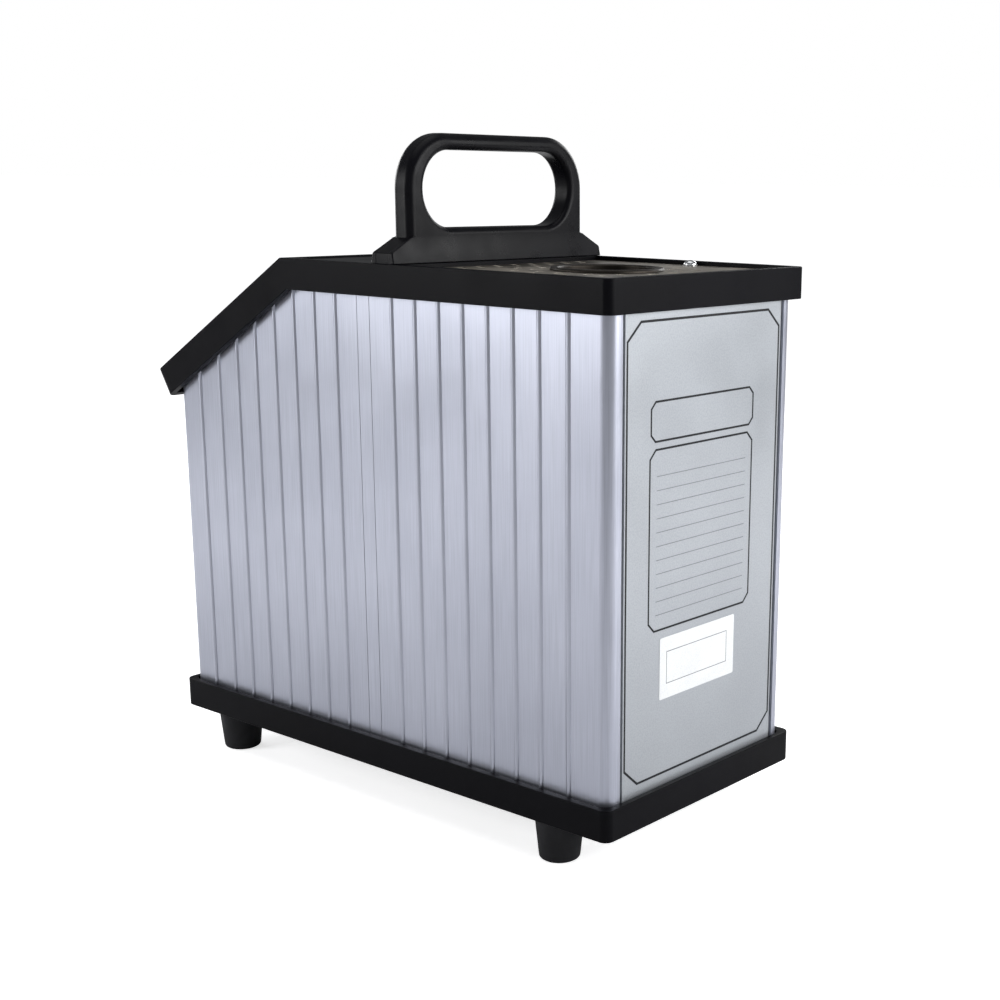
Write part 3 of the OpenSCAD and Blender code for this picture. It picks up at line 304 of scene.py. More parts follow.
@dataclass(frozen=True)
class LitTable(Finish):
    """The studio's white table top, which glows though it is no lamp, and less so under the object:
    a painted shadow.

    Attributes:
        near, far: Distances in metres at which the glow starts, and is full; closer in there is no
            glow, a painted shadow.
        glow: Its full strength.
        seen: What the camera sees on top of that, and the object's reflections don't.
    """

    near: float = 0.2
    far: float = 1.0
    glow: float = 0.2
    seen: float = 0.7

    def extras(self, tree: Tree, shader: Node, place: Socket) -> None:
        """Adds the glow: a smooth step of the distance that leaves a painted shadow under the
        object, and the camera's share.
        """
        reach = add(tree, "VectorMath", {0: place}, operation="LENGTH")
        # Painted shadow: no glow near the object, full glow far off, so its flanks reflect a
        # painted shade towards their foot.
        glow = add(tree, "MapRange", {"Value": reach.outputs["Value"]},
                   dict(zip(RANGE, (self.near, self.far, 0.0, self.glow))),
                   interpolation_type="SMOOTHSTEP")
        seen = add(tree, "LightPath").outputs["Is Camera Ray"]
        glow = add(tree, "Math", {0: seen, 2: glow.outputs[0]}, {1: self.seen},
                   operation="MULTIPLY_ADD")
        shader.inputs["Emission Color"].default_value = (1.0, 1.0, 1.0, 1.0)
        tree.links.new(glow.outputs[0], shader.inputs["Emission Strength"])


# ABS moulded in a spark-eroded tool: near black, with a fine even orange-peel that
# scatters highlights into a satin band. The grain is drawn coarser than the real 0.2 mm.
BEZEL_ABS = Finish(
    "moulded_abs_bezel", "#0b0b0f", "#08080b", 0.38, 0.07, grain=0.75, relief=0.012, patch=60,
    shine=0.05)
# The handle comes from a smoother tool and is rubbed by hands, so its broad faces shine more.
HANDLE_ABS = Finish(
    "moulded_abs_handle", "#0d0d11", "#0a0a0d", 0.32, 0.09, grain=0.9, relief=0.010, patch=35,
    shine=0.09)
# Extruded aluminium, bead blasted and clear anodised: bluish silver, faint lines along the draw.
SIDE_ANODISED = Finish(
    "anodised_extrusion", "#aeb1bd", "#a6a9b5", 0.34, 0.04, 0.9, relief=0.0012, patch=70,
    weave=Weave.UPRIGHT)
# Flat aluminium sheet under a satin lacquer: an even grey with a soft, milky gloss.
PANEL_SHEET = Finish(
    "satin_lacquered_sheet", "#a3a7ac", "#9b9fa4", 0.38, 0.05, 0.65, grain=0.7, relief=0.004,
    patch=80, coat=0.25)
# Stainless sheet brushed along its length: warm grey with fine lines.
BRUSHED_STEEL = Finish(
    "brushed_stainless_sheet", "#b3aca0", "#a39c91", 0.34, 0.08, 1.0, grain=0.45, relief=0.006,
    patch=25, weave=Weave.ACROSS, lean=0.5)
# Stainless turned in a lathe: fine rings that draw highlights into a bow.
TURNED_STEEL = Turned(
    "turned_stainless", "#b9b4ac", "#9f9a92", 0.26, 0.08, 1.0, grain=0.35, relief=0.006, patch=14)
# The same turned steel, rougher and painted near black: painted shade, so the collar reads as the
# shadowed mouth of the well.
WELL_SHADE_STEEL = Turned(
    "steel_painted_as_well_shade", "#3b3733", "#2b2825", 0.52, 0.08, 1.0, grain=0.35, relief=0.006)
# Brass block metal, turned, a little browned by heat.
TURNED_BRASS = Turned(
    "turned_brass_heat_stained", "#a98a52", "#7d6238", 0.34, 0.1, 1.0, grain=0.3, relief=0.006,
    patch=20)
# Nickel or chromium plate: bright, with hardly any grain.
BRIGHT_PLATE = Finish(
    "bright_plate", "#d6d8da", "#c4c6c9", 0.16, 0.05, 1.0, grain=0.6, relief=0.001, patch=8)
# Zinc coated steel sheet: mottled greys, satin.
ZINC_SHEET = Spangled(
    "zinc_coated_sheet", "#8f9499", "#b1b5b9", 0.42, 0.1, 1.0, grain=0.6, relief=0.004, patch=20)
# Natural rubber moulding: matt, dusty in its texture.
FOOT_RUBBER = Finish(
    "moulded_rubber", "#141417", "#19191c", 0.6, 0.08, grain=0.8, relief=0.03, patch=14, shine=0.2)
# Silicone keypad rubber: matt grey with a soft pale edge.
KEY_RUBBER = Finish(
    "silicone_key_rubber", "#6b7079", "#626770", 0.58, 0.06, relief=0.01, patch=6, sheen=0.15)
# Glass-filled nylon: dark, with a slightly cloudy skin.
FILLED_NYLON = Finish(
    "glass_filled_nylon", "#1a1b1d", "#242527", 0.48, 0.08, grain=0.6, relief=0.02, patch=12)
# Instrument frame: dark grey ABS with a finer grain than the bezels.
METER_ABS = Finish("moulded_abs_instrument", "#24262a", "#1d1f22", 0.42, relief=0.012, patch=30)
# Steatite ceramic, pressed and fired unglazed: chalky cream.
STEATITE = Finish(
    "unglazed_steatite", "#e6e0d2", "#d9d2c2", 0.6, 0.06, relief=0.01, patch=8, ior=1.6)
# Ceramic fibre felt: matt, loose and off white.
FIBRE_FELT = Felted(
    "ceramic_fibre_felt", "#d8d0bd", "#c9c0ab", 0.9, 0.04, grain=2.0, relief=0.25, patch=18,
    sheen=0.3)
# Smoked acrylic in front of the displays: dark red, glossy, clear enough to see the segments.
SMOKED_ACRYLIC = Tinted(
    "smoked_red_acrylic", "#6a2026", "#5c1a20", 0.05, 0.02, grain=3.0, relief=0.0005, patch=30,
    ior=1.49)
# Display segments that are off: milky grey with a red cast.
SEGMENT_OFF = Finish(
    "display_segment_unlit", "#8d5b58", "#7d4e4c", 0.4, grain=0.6, relief=0.002)
# Gloss polycarbonate of the rocker: a wet-looking red.
ROCKER_GLOSS = Finish(
    "gloss_red_polycarbonate", "#a01d18", "#8e1713", 0.18, 0.04, grain=1.2, patch=9, coat=0.4)
# Brass contacts under a thin plate: pale gold and bright.
CONTACT_PLATE = Finish(
    "plated_brass_contact", "#c9b98c", "#b8a778", 0.22, 0.06, 1.0, grain=0.4, relief=0.002, patch=5)
# Thermocouple socket: a glossy moulding in its code colour, mustard.
SOCKET_MOULD = Finish(
    "moulded_socket", "#9a7d1d", "#8c7118", 0.34, grain=0.6, relief=0.008, patch=8)
# Extruded heat sink: dull silver, lined along its fins.
HEATSINK_ALLOY = Finish(
    "extruded_heatsink", "#a8adb5", "#9ba0a8", 0.4, 0.06, 0.9, relief=0.004, patch=20,
    weave=Weave.UPRIGHT)
# Screen-printed ink: dark, slightly grainy.
INK = Finish("screen_ink_dark", "#0e0f12", "#15161a", 0.5, grain=0.4, shine=0.2)
# Pale ink of the key and switch marks.
INK_PALE = Finish("screen_ink_pale", "#d9dadc", "#cfd0d3", 0.5, grain=0.4)
# Thin ruled lines in a greyer ink.
INK_GREY = Finish("screen_ink_grey", "#6e7277", "#64686d", 0.5, grain=0.4)
# White vinyl sticker: clean white under a thin gloss.
VINYL = Finish("white_vinyl_label", "#dcdedf", "#d5d7d9", 0.42, patch=15, coat=0.1)
# Glass of the fuse: clear and colourless, with sharp glints.
FUSE_GLASS = Tinted(
    "fuse_glass", "#eef4f2", "#e4ecea", 0.03, 0.01, grain=2.0, relief=0.0005, patch=5)


# ---- meshes


@dataclass
class Shell:
    """Points in millimetres and the faces between them.

    Attributes:
        points: Array of n x 3.
        faces: Index lists, one for each face.
    """

    points: Array
    faces: list[Sequence[int]]

    def moved(self, turn: Array, shift: Sequence[float]) -> "Shell":
        """Returns the shell turned by a 3 x 3 matrix and then shifted."""
        return Shell(self.points @ np.asarray(turn).T + np.asarray(shift, float), self.faces)


def merged(shells: Iterable[Shell]) -> Shell:
    """Returns several shells as one."""
    points, faces, base = [], [], 0
    for shell in shells:
        points.append(shell.points)
        faces += [tuple(base + int(i) for i in face) for face in shell.faces]
        base += len(shell.points)
    return Shell(np.vstack(points), faces)


def lattice(points: Array, wrap_u: bool = False, wrap_v: bool = False) -> Shell:
    """Joins a grid of points into quads.

    Face (i, j) has corners (i, j), (i+1, j), (i+1, j+1), (i, j+1), with indices taken
    round the end where that direction wraps.

    Args:
        points: Array of m x n x 3, u along the first axis and v along the second.
        wrap_u, wrap_v: True where the last row, or column, joins the first.

    Returns:
        The shell.
    """
    m, n = points.shape[:2]
    i = np.arange(m if wrap_u else m - 1)[:, None]
    j = np.arange(n if wrap_v else n - 1)[None, :]
    a, b = i * n + j, (i + 1) % m * n + j
    c, d = (i + 1) % m * n + (j + 1) % n, i * n + (j + 1) % n
    quads = np.stack(np.broadcast_arrays(a, b, c, d), -1).reshape(-1, 4)
    return Shell(points.reshape(-1, 3), [tuple(q) for q in quads.tolist()])


def revolved(profile: Sequence[Pair], steps: int = 64) -> Shell:
    """Turns a closed profile round the Z axis.

    Point (i, j) is (r_i cos t_j, r_i sin t_j, z_i) with t_j = -2 pi j / steps. The profile
    runs with the solid on its left, seen with r to the right and z up, and the turn runs
    clockwise so that the faces point out.

    Args:
        profile: Radius and height of each corner.
        steps: Divisions of the turn.

    Returns:
        The closed shell.
    """
    r, z = np.array(profile, float).T
    t = -np.arange(steps) * 2 * pi / steps
    r, z = r[:, None], z[:, None]
    grid = np.stack([r * np.cos(t), r * np.sin(t), z * np.ones_like(t)], -1)
    return lattice(grid, wrap_u=True, wrap_v=True)


def slab(outline: Array, low: float, high: float) -> Shell:
    """Gives an outline in u and v a thickness from w = low to w = high.

    Args:
        outline: Array of n x 2, anticlockwise.
        low, high: Heights of the back and the face.

    Returns:
        The closed shell.
    """
    n = len(outline)
    back = np.column_stack([outline, np.full(n, low)])
    face = np.column_stack([outline, np.full(n, high)])
    sides = [(i, (i + 1) % n, n + (i + 1) % n, n + i) for i in range(n)]
    return Shell(np.vstack([back, face]), [tuple(range(n))[::-1], tuple(range(n, 2 * n)), *sides])


def rounded_box(w: float, h: float, r: float, steps: int = 5) -> Array:
    """Draws a rectangle with round corners, each c + r (cos t, sin t) for a quarter turn of t.

    Args:
        w, h: Width and height.
        r: Radius of the corners.
        steps: Divisions of each.

    Returns:
        The outline, n x 2, anticlockwise from the lower right.
    """
    t = np.linspace(0, pi / 2, steps + 1)
    quarter = np.stack([np.cos(t), np.sin(t)], -1)
    turns = [((1, -1), -1), ((1, 1), 0), ((-1, 1), 1), ((-1, -1), 2)]
    parts = []
    for (sx, sy), q in turns:
        c, s = cos(q * pi / 2), sin(q * pi / 2)
        centre = np.array([sx * (w / 2 - r), sy * (h / 2 - r)])
        parts.append(centre + r * quarter @ np.array([[c, s], [-s, c]]))
    return np.vstack(parts)


def cut_box(x0: float, x1: float, y0: float, y1: float, cx: float, cy: float) -> Array:
    """Returns a rectangle with its corners cut off by cx across and cy up, anticlockwise."""
    return np.array([[x0 + cx, y0], [x1 - cx, y0], [x1, y0 + cy], [x1, y1 - cy],
                     [x1 - cx, y1], [x0 + cx, y1], [x0, y1 - cy], [x0, y0 + cy]])


def outline_band(outline: Array, width: float, low: float, high: float) -> Shell:
    """Makes a printed line round a closed outline.

    Each corner moves in and out by half the width along the mitre of its two sides:
    m = (n1 + n2) / (1 + n1 . n2), with n the sides' normals.

    Args:
        outline: Array of n x 2, anticlockwise.
        width: Width of the line.
        low, high: Heights of its back and its face.

    Returns:
        The closed shell.
    """
    side = np.roll(outline, -1, 0) - outline
    side /= np.linalg.norm(side, axis=1, keepdims=True)
    normal = np.column_stack([side[:, 1], -side[:, 0]])
    before = np.roll(normal, 1, 0)
    mitre = (normal + before) / (1 + (normal * before).sum(1, keepdims=True))
    out, inn = outline + mitre * width / 2, outline - mitre * width / 2
    rows = [(out, low), (out, high), (inn, high), (inn, low)]
    grid = np.stack([np.column_stack([p, np.full(len(p), w)]) for p, w in rows])
    return lattice(grid.transpose(1, 0, 2), wrap_u=True, wrap_v=True)


@dataclass(frozen=True)
class Facing:
    """A flat place on the object: u to the right and v up for somebody who faces it, w out of it.

    Attributes:
        origin: Where u, v and w are 0.
        right, up: Directions of u and v.
    """

    origin: Point
    right: Point
    up: Point

    def set(self, shell: Shell) -> Shell:
        """Returns a shell given in u, v, w as one in X, Y, Z."""
        r, u = np.array(self.right), np.array(self.up)
        return shell.moved(np.column_stack([r, u, np.cross(r, u)]), self.origin)


def make(name: str, shell: Shell, finish: Finish, body: str,
         smooth: float = 35.0) -> Thing:
    """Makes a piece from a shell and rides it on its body.

    Args:
        name: Piece name.
        shell: Its shape.
        finish: What it is covered with.
        body: CAD body it rides on.
        smooth: Edges sharper than this many degrees stay sharp.

    Returns:
        The object, at the origin.
    """
    mesh = bpy.data.meshes.new(name)
    mesh.from_pydata((shell.points * MM).tolist(), [], shell.faces)
    mesh.update()
    mesh.validate()
    shade(mesh, smooth)
    mesh.materials.append(finish.build())
    made = placed(name, mesh)
    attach(made, body)
    log.info("%s: %d points", name, len(mesh.vertices))
    return made


def stand_in(name: str, shell: Shell, finish: Finish, node: str) -> None:
    """Makes a piece that rides on a CAD node's body, with the node hidden in its place."""
    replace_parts(make(name, shell, finish, carrier_of(node)), node)


def dress(node: str, finish: Finish) -> None:
    """Gives a CAD node its finish, its shape untouched."""
    shown = frame["nodes"][node]
    made = finish.build()
    if not shown.material_slots:
        shown.data.materials.append(made)
    for held in shown.material_slots:
        held.material = made
    log.info("%s: dressed", node)


WELD = 2e-6  # metres within which two corners are one
FLAT = radians(0.4)  # faces that turn by less than this count as one flat


def softened(node: str, finish: Finish, width: float, segments: int = 2, limit: float = 30.0,
             shape: Callable[[Array], Array] | None = None) -> Thing:
    """Stands a copy of a CAD node in its place, with its sharp edges rounded.

    Args:
        node: CAD node to replace.
        finish: What it is covered with.
        width: Width of the rounded edge.
        segments: Divisions of the rounding.
        limit: Edges that turn by less than this many degrees stay as they are.
        shape: Moves the copy's points, an array of n x 3 in millimetres, before the rounding.

    Returns:
        The copy.
    """
    mesh = frame["nodes"][node].data.copy()
    if shape:
        flat_list = np.empty(3 * len(mesh.vertices))
        mesh.vertices.foreach_get("co", flat_list)
        mesh.vertices.foreach_set("co", (shape(flat_list.reshape(-1, 3) / MM) * MM).ravel())
    work = bmesh.new()
    work.from_mesh(mesh)
    bmesh.ops.remove_doubles(work, verts=work.verts, dist=WELD)
    bmesh.ops.dissolve_limit(work, angle_limit=FLAT, verts=work.verts, edges=work.edges)
    # A flat face with an opening is left as a C-shaped polygon, which the rounding would tear,
    # so the flats go back to well-shaped triangles first.
    bmesh.ops.triangulate(work, faces=work.faces, quad_method="BEAUTY", ngon_method="BEAUTY")
    work.to_mesh(mesh)
    work.free()
    mesh.name = node + "_softened"
    if mesh.attributes.get("custom_normal"):
        mesh.attributes.remove(mesh.attributes["custom_normal"])
    shade(mesh, limit)
    mesh.materials.clear()
    mesh.materials.append(finish.build())
    made = placed(mesh.name, mesh)
    edge = made.modifiers.new("edge", "BEVEL")
    edge.width, edge.segments = width * MM, segments
    edge.limit_method, edge.angle_limit = "ANGLE", radians(limit)
    edge.use_clamp_overlap = edge.loop_slide = False
    edge.miter_outer = "MITER_ARC"
    flat = made.modifiers.new("flat", "WEIGHTED_NORMAL")
    flat.mode, flat.weight, flat.keep_sharp = "FACE_AREA", 100, False
    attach(made, carrier_of(node))
    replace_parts(made, node)
    log.info("%s: softened by %.2f mm", node, width)
    return made


# ---- sub-assemblies


@dataclass
class Casing:
    """Bezels, beaded sides, posts, panels and feet.

    Attributes:
        rear_y: Outer face of the rear panel.
        bezel_edge: Rounding of the bezels. A wider one folds over at their corners.
        foot_edge: Rounding of the feet.
        line: Width of the border's printed line, and of the boxes' lines.
        raise_ink: Thickness of the printed lines.
        border: Left, right, bottom and top of the border, and its cut corners.
        upper_box, lower_box, sticker: Left, right, bottom and top of each.
        corners: Cut corners of the two boxes.
        rules: Number and thickness of the ruled lines.
        rule_in: Distance of the rules from the box's sides, bottom and top.
        sticker_in: Distance of the label's frame from its left, right, bottom and top.
    """

    rear_y: float = 152.518
    bezel_edge: float = 0.35
    foot_edge: float = 0.6
    line: Pair = (1.1, 0.935)
    raise_ink: float = 0.04
    border: tuple[float, ...] = (-56, 56, 40.5, 247, 9, 8)
    upper_box: Four = (-39.4, 36.4, 194.8, 212.2)
    lower_box: Four = (-40.0, 36.3, 109.3, 191.2)
    corners: Pair = (3.0, 4.0)
    rules: tuple[int, float] = (11, 0.35)
    rule_in: Point = (5.0, 7.0, 12.0)
    sticker: Four = (-31.5, 25.3, 76.0, 105.0)
    sticker_in: Four = (5.0, 6.0, 7.0, 7.0)

    @property
    def rear(self) -> Facing:
        """The outer face of the rear panel."""
        return Facing((0, self.rear_y, 0), (-1, 0, 0), (0, 0, 1))

    def shells(self) -> None:
        """Dresses the bezels, panels, posts and feet."""
        softened("top_bezel", BEZEL_ABS, self.bezel_edge, 3)
        softened("base_bezel", BEZEL_ABS, self.bezel_edge, 3)
        for side in ("left", "right"):
            for end in ("front", "rear"):
                dress(f"side_panel_{side}_{end}", SIDE_ANODISED)
                dress(f"corner_post_{end}_{side}", SIDE_ANODISED)
                softened(f"foot_{end}_{side}", FOOT_RUBBER, self.foot_edge, 3)
            dress(f"side_joiner_{side}", SIDE_ANODISED)
        for node in ("rear_panel", "front_panel", "control_panel"):
            dress(node, PANEL_SHEET)
        dress("floor_pan", ZINC_SHEET)

    def rear_print(self) -> None:
        """Prints a border, an empty box and a ruled box, and sticks a blank framed label on."""
        high, (count, thick), (side, low, top) = self.raise_ink, self.rules, self.rule_in
        lines = [outline_band(cut_box(*self.border), self.line[0], SUNK, high)]
        lines += [outline_band(cut_box(*box, corner, corner), self.line[1], SUNK, high)
                  for box, corner in zip((self.upper_box, self.lower_box), self.corners)]
        x0, x1, z0, z1 = self.lower_box
        x0, x1 = x0 + side, x1 - side
        rules = [slab(np.array([[x0, z], [x1, z], [x1, z + thick], [x0, z + thick]]), SUNK, high)
                 for z in np.linspace(z0 + low, z1 - top, count)]
        x0, x1, z0, z1 = self.sticker
        label = rounded_box(x1 - x0, z1 - z0, 0.8) + np.array([(x0 + x1) / 2, (z0 + z1) / 2])
        left, right, low, top = self.sticker_in
        inner = cut_box(x0 + left, x1 - right, z0 + low, z1 - top, 0.01, 0.01)
        for name, shell, finish in (
                ("rear_panel_print", merged(lines), INK),
                ("rear_panel_rules", merged(rules), INK_GREY),
                ("rear_sticker", slab(label, SUNK, 0.12), VINYL),
                ("rear_sticker_frame", outline_band(inner, thick, 0.1, 0.14), INK_GREY)):
            make(name, self.rear.set(shell), finish, "case")

    def build(self) -> None:
        """Builds the whole casing."""
        self.shells()
        self.rear_print()


@dataclass
class CarryingHandle:
    """The black handle over the case.

    Attributes:
        edge: Rounding of its edges.
        middle: Y of its middle.
        foot, flange, shoulder: Heights of its underside, the foot's top and the shoulder's.
        web: Half the thickness of the upright part.
        half: Half the width of the foot, and of the shoulder's top.
        flare: How far the sweep stands out at the foot.
        rise: How far the sweep runs up past the shoulder.
        inside: How far the foot's faces are drawn in behind the web's.
        shrink: Factor that draws the foot's ends in.
    """

    edge: float = 0.4
    middle: float = 21.418
    foot: float = 266.0
    flange: float = 271.0
    shoulder: float = 277.5
    web: float = 6.0
    half: Pair = (72.0, 60.0)
    flare: float = 1.7
    rise: float = 1.15
    inside: float = 0.3
    shrink: float = 0.998

    def tucked(self, points: Array) -> Array:
        """Returns the handle's points, n x 3, with its foot drawn in under the sweep over it."""
        off = points[:, 1] - self.middle
        foot = (np.abs(off) > self.web + 0.5) & (points[:, 2] < self.shoulder + 0.5)
        points[foot, 1] = self.middle + np.sign(off[foot]) * (self.web - self.inside)
        points[foot, 0] *= self.shrink
        return points

    def swept_foot(self) -> None:
        """Covers both faces of the foot with one hollow sweep down from the upright part.

        The face stands at d(z) = web + flare ((top - z) / (top - foot))^2.
        """
        top = self.shoulder + self.rise
        z = np.linspace(self.foot + 0.1, top, 20)
        d = self.web + self.flare * ((top - z) / (top - self.foot)) ** 2
        ends = [self.half[0] - 0.02, self.half[1] - 0.02, self.half[1] - 4.0]
        x = np.interp(z, [self.flange, self.shoulder, top], ends)
        grid = np.stack([np.stack([side * x, d if out else 0 * d + self.web - 2, z], -1)
                         for side, out in ((1, 1), (-1, 1), (-1, 0), (1, 0))], 1)
        face = lattice(grid, wrap_v=True)
        last = 4 * (len(z) - 1)
        face.faces += [(0, 1, 2, 3), (last + 3, last + 2, last + 1, last)]
        face.faces = [tuple(reversed(f)) for f in face.faces]
        back = face.moved(np.diag([-1.0, -1.0, 1.0]), (0, self.middle, 0))
        both = merged([face.moved(np.eye(3), (0, self.middle, 0)), back])
        sharp = 50
        made = make("handle_swept_foot", both, HANDLE_ABS, carrier_of("handle"),
                    sharp)
        edge = made.modifiers.new("edge", "BEVEL")
        edge.width, edge.segments = self.edge * MM, 2
        edge.limit_method, edge.angle_limit = "ANGLE", radians(sharp)

    def build(self) -> None:
        """Dresses the handle and its hidden screws."""
        softened("handle", HANDLE_ABS, self.edge, 3, 35, self.tucked)
        self.swept_foot()
        dress("handle_screws", BRIGHT_PLATE)


@dataclass
class WellTop:
    """The perforated plate, the collar and the domed screw.

    Attributes:
        hole_edge: Rounding of the plate's edges.
        stud: Place of the domed screw on the plate.
        dome: Radius and height of its head.
    """

    hole_edge: float = 0.22
    stud: Point = (-63.4, 94.118, 264.0)
    dome: Pair = (3.3, 2.7)

    def domed_screw(self) -> None:
        """Turns the screw: a washer, and a dome whose height falls as sqrt(1 - (r / R)^2).

        The profile is radius and height: the shank, the washer's underside, its rounded
        rim, and the crown on top of it.
        """
        wide, tall = self.dome
        turn = np.linspace(0, pi / 2, 9)
        crown = [(max(wide * cos(t), 0.01), 0.6 + (tall - 0.6) * sin(t)) for t in turn]
        profile = [(0.01, -3.8), (1.9, -3.8), (1.9, 0.0), (3.7, 0.0), (3.8, 0.1), (3.8, 0.45),
                   (3.65, 0.6), *crown]
        screw = revolved(profile, 48).moved(np.eye(3), self.stud)
        stand_in("top_stud_domed", screw, BRIGHT_PLATE, "top_stud")

    def build(self) -> None:
        """Dresses the plate and the collar."""
        softened("top_plate", BRUSHED_STEEL, self.hole_edge)
        # The collar's near black is painted shade standing in for the mouth of the well.
        softened("well_collar", WELL_SHADE_STEEL, 0.15)
        self.domed_screw()


@dataclass
class Inner:
    """A sub-assembly whose pieces need only their finishes and rounded edges.

    Attributes:
        soft: Finish of each CAD node whose edges are rounded, and by how much.
        plain: Finish of each that keeps its own edges.
    """

    soft: dict[str, tuple[Finish, float]]
    plain: dict[str, Finish]

    def build(self) -> None:
        """Dresses the pieces."""
        for node, (finish, width) in self.soft.items():
            softened(node, finish, width)
        for node, finish in self.plain.items():
            dress(node, finish)


HEATED_CORE = Inner(
    {"heater_block": (TURNED_BRASS, 0.5), "block_insert": (TURNED_BRASS, 0.4)},
    {"heater_cartridges": TURNED_STEEL, "control_sensor": BRIGHT_PLATE, "block_spool": STEATITE,
     "carrier_plate": ZINC_SHEET, "carrier_pillars": BRIGHT_PLATE, "block_jacket": FIBRE_FELT,
     "heat_shield": BRUSHED_STEEL})
COOLING_FAN = Inner(
    {"fan_frame": (FILLED_NYLON, 0.2), "fan_guard": (BRIGHT_PLATE, 0.35)},
    {"fan_rotor": FILLED_NYLON})
ELECTRONICS_BAY = Inner(
    {"relay_heatsink": (HEATSINK_ALLOY, 0.25), "solid_state_relay": (FILLED_NYLON, 0.5)},
    {"bulkhead": ZINC_SHEET})


@dataclass
class Instrument:
    """One panel instrument: frame, window, display and three keys.

    Attributes:
        label: First part of its nodes' names.
        along: Distance of its middle down the slope.
        ridge: Y and Z of the ridge.
        face: Height of its face, over the slope's surface as all its heights are.
        window_up: Distance of the window's middle above its own middle.
        key_down, key_pitch: Distance of the keys below its middle, and from key to key.
        key_top: Height of the keys' tops.
        digits: How many digits the display has.
        digit: Half the height and the width of a digit, between its bars' middles.
        digit_pitch: Distance from digit to digit.
        bar: Half the width of a digit's bar, and the gap at either end of it.
        italic: How far a digit leans, as a share of its height.
        lit: Height of the bars' backs and faces.
        lamp_out: Distance of the two lamps from its middle.
    """

    label: str
    along: float
    ridge: Pair = (-51.482, 266.0)
    face: float = 4.0
    window_up: float = 7.0
    key_down: float = 14.0
    key_pitch: float = 24.0
    key_top: float = 5.2
    digits: int = 4
    digit: Pair = (6.6, 6.4)
    digit_pitch: float = 13.5
    bar: Pair = (0.8, 0.45)
    italic: float = 0.1
    lit: Pair = (0.1, 0.4)
    lamp_out: float = 38.0

    @property
    def place(self) -> Facing:
        """The instrument's middle on the slope's surface."""
        c, s = cos(SLOPE), sin(SLOPE)
        middle = (0, self.ridge[0] - self.along * c, self.ridge[1] - self.along * s)
        return Facing(middle, (1, 0, 0), (0, c, s))

    def fit(self, what: str, shell: Shell, finish: Finish, body: str = "case") -> None:
        """Makes one of its pieces from a shell in its own u, v and w."""
        make(f"{self.label}_{what}", self.place.set(shell), finish, body)

    def segments(self) -> Shell:
        """Returns the bars of the display's digits, each a hexagon that leans a little."""
        (h, w), (b, gap), bars = self.digit, self.bar, []
        spots = [(0, h, 0), (0, 0, 0), (0, -h, 0), (-w / 2, h / 2, 1), (w / 2, h / 2, 1),
                 (-w / 2, -h / 2, 1), (w / 2, -h / 2, 1)]
        for d in range(self.digits):
            x = (d - (self.digits - 1) / 2) * self.digit_pitch
            for u, v, upright in spots:
                half = (h if upright else w) / 2 - gap
                bar = np.array([[-half, 0], [-half + b, -b], [half - b, -b], [half, 0],
                                [half - b, b], [-half + b, b]])
                if upright:
                    bar = np.column_stack([-bar[:, 1], bar[:, 0]])
                bar = bar + [u, v]
                bar[:, 0] += self.italic * bar[:, 1] + x
                bars.append(slab(bar + [0, self.window_up], *self.lit))
            dot = rounded_box(1.5, 1.5, 0.7, 3) + [x + w / 2 + 2.2, self.window_up - h]
            bars.append(slab(dot, *self.lit))
        return merged(bars)

    def key_marks(self) -> None:
        """Prints an up arrow, a down arrow and a set bar on the keys."""
        marks = {"left": np.array([[-1.6, -1.1], [1.6, -1.1], [0, 1.4]]),
                 "middle": np.array([[-1.6, 1.1], [0, -1.4], [1.6, 1.1]]),
                 "right": rounded_box(4.0, 1.1, 0.5, 3)}
        for place, (key, mark) in enumerate(marks.items()):
            spot = mark + [(place - 1) * self.key_pitch, -self.key_down]
            self.fit(f"mark_{key}", slab(spot, self.key_top - 0.02, self.key_top + 0.05), INK_PALE,
                     f"{self.label}_{key}_key")

    def build(self) -> None:
        """Builds the instrument."""
        dress(f"{self.label}_bezel", METER_ABS)
        dress(f"{self.label}_case", FILLED_NYLON)
        softened(f"{self.label}_window", SMOKED_ACRYLIC, 0.15)
        for key in ("left", "middle", "right"):
            softened(f"{self.label}_key_{key}", KEY_RUBBER, 0.4, 3)
        board = rounded_box(82, 24.6, 1.0) + [0, self.window_up]
        self.fit("display_board", slab(board, -1.6, 0.05), FILLED_NYLON)
        self.fit("segments", self.segments(), SEGMENT_OFF)
        self.key_marks()
        dome = revolved([(0.001, 0), (1.3, 0), (1.3, 0.35), (1.0, 0.75), (0.5, 1.0), (0.001, 1.1)],
                        20)
        lamps = [dome.moved(np.eye(3), (x, -self.key_down, self.face - 0.02))
                 for x in (-self.lamp_out, self.lamp_out)]
        self.fit("lamps", merged(lamps), SEGMENT_OFF)


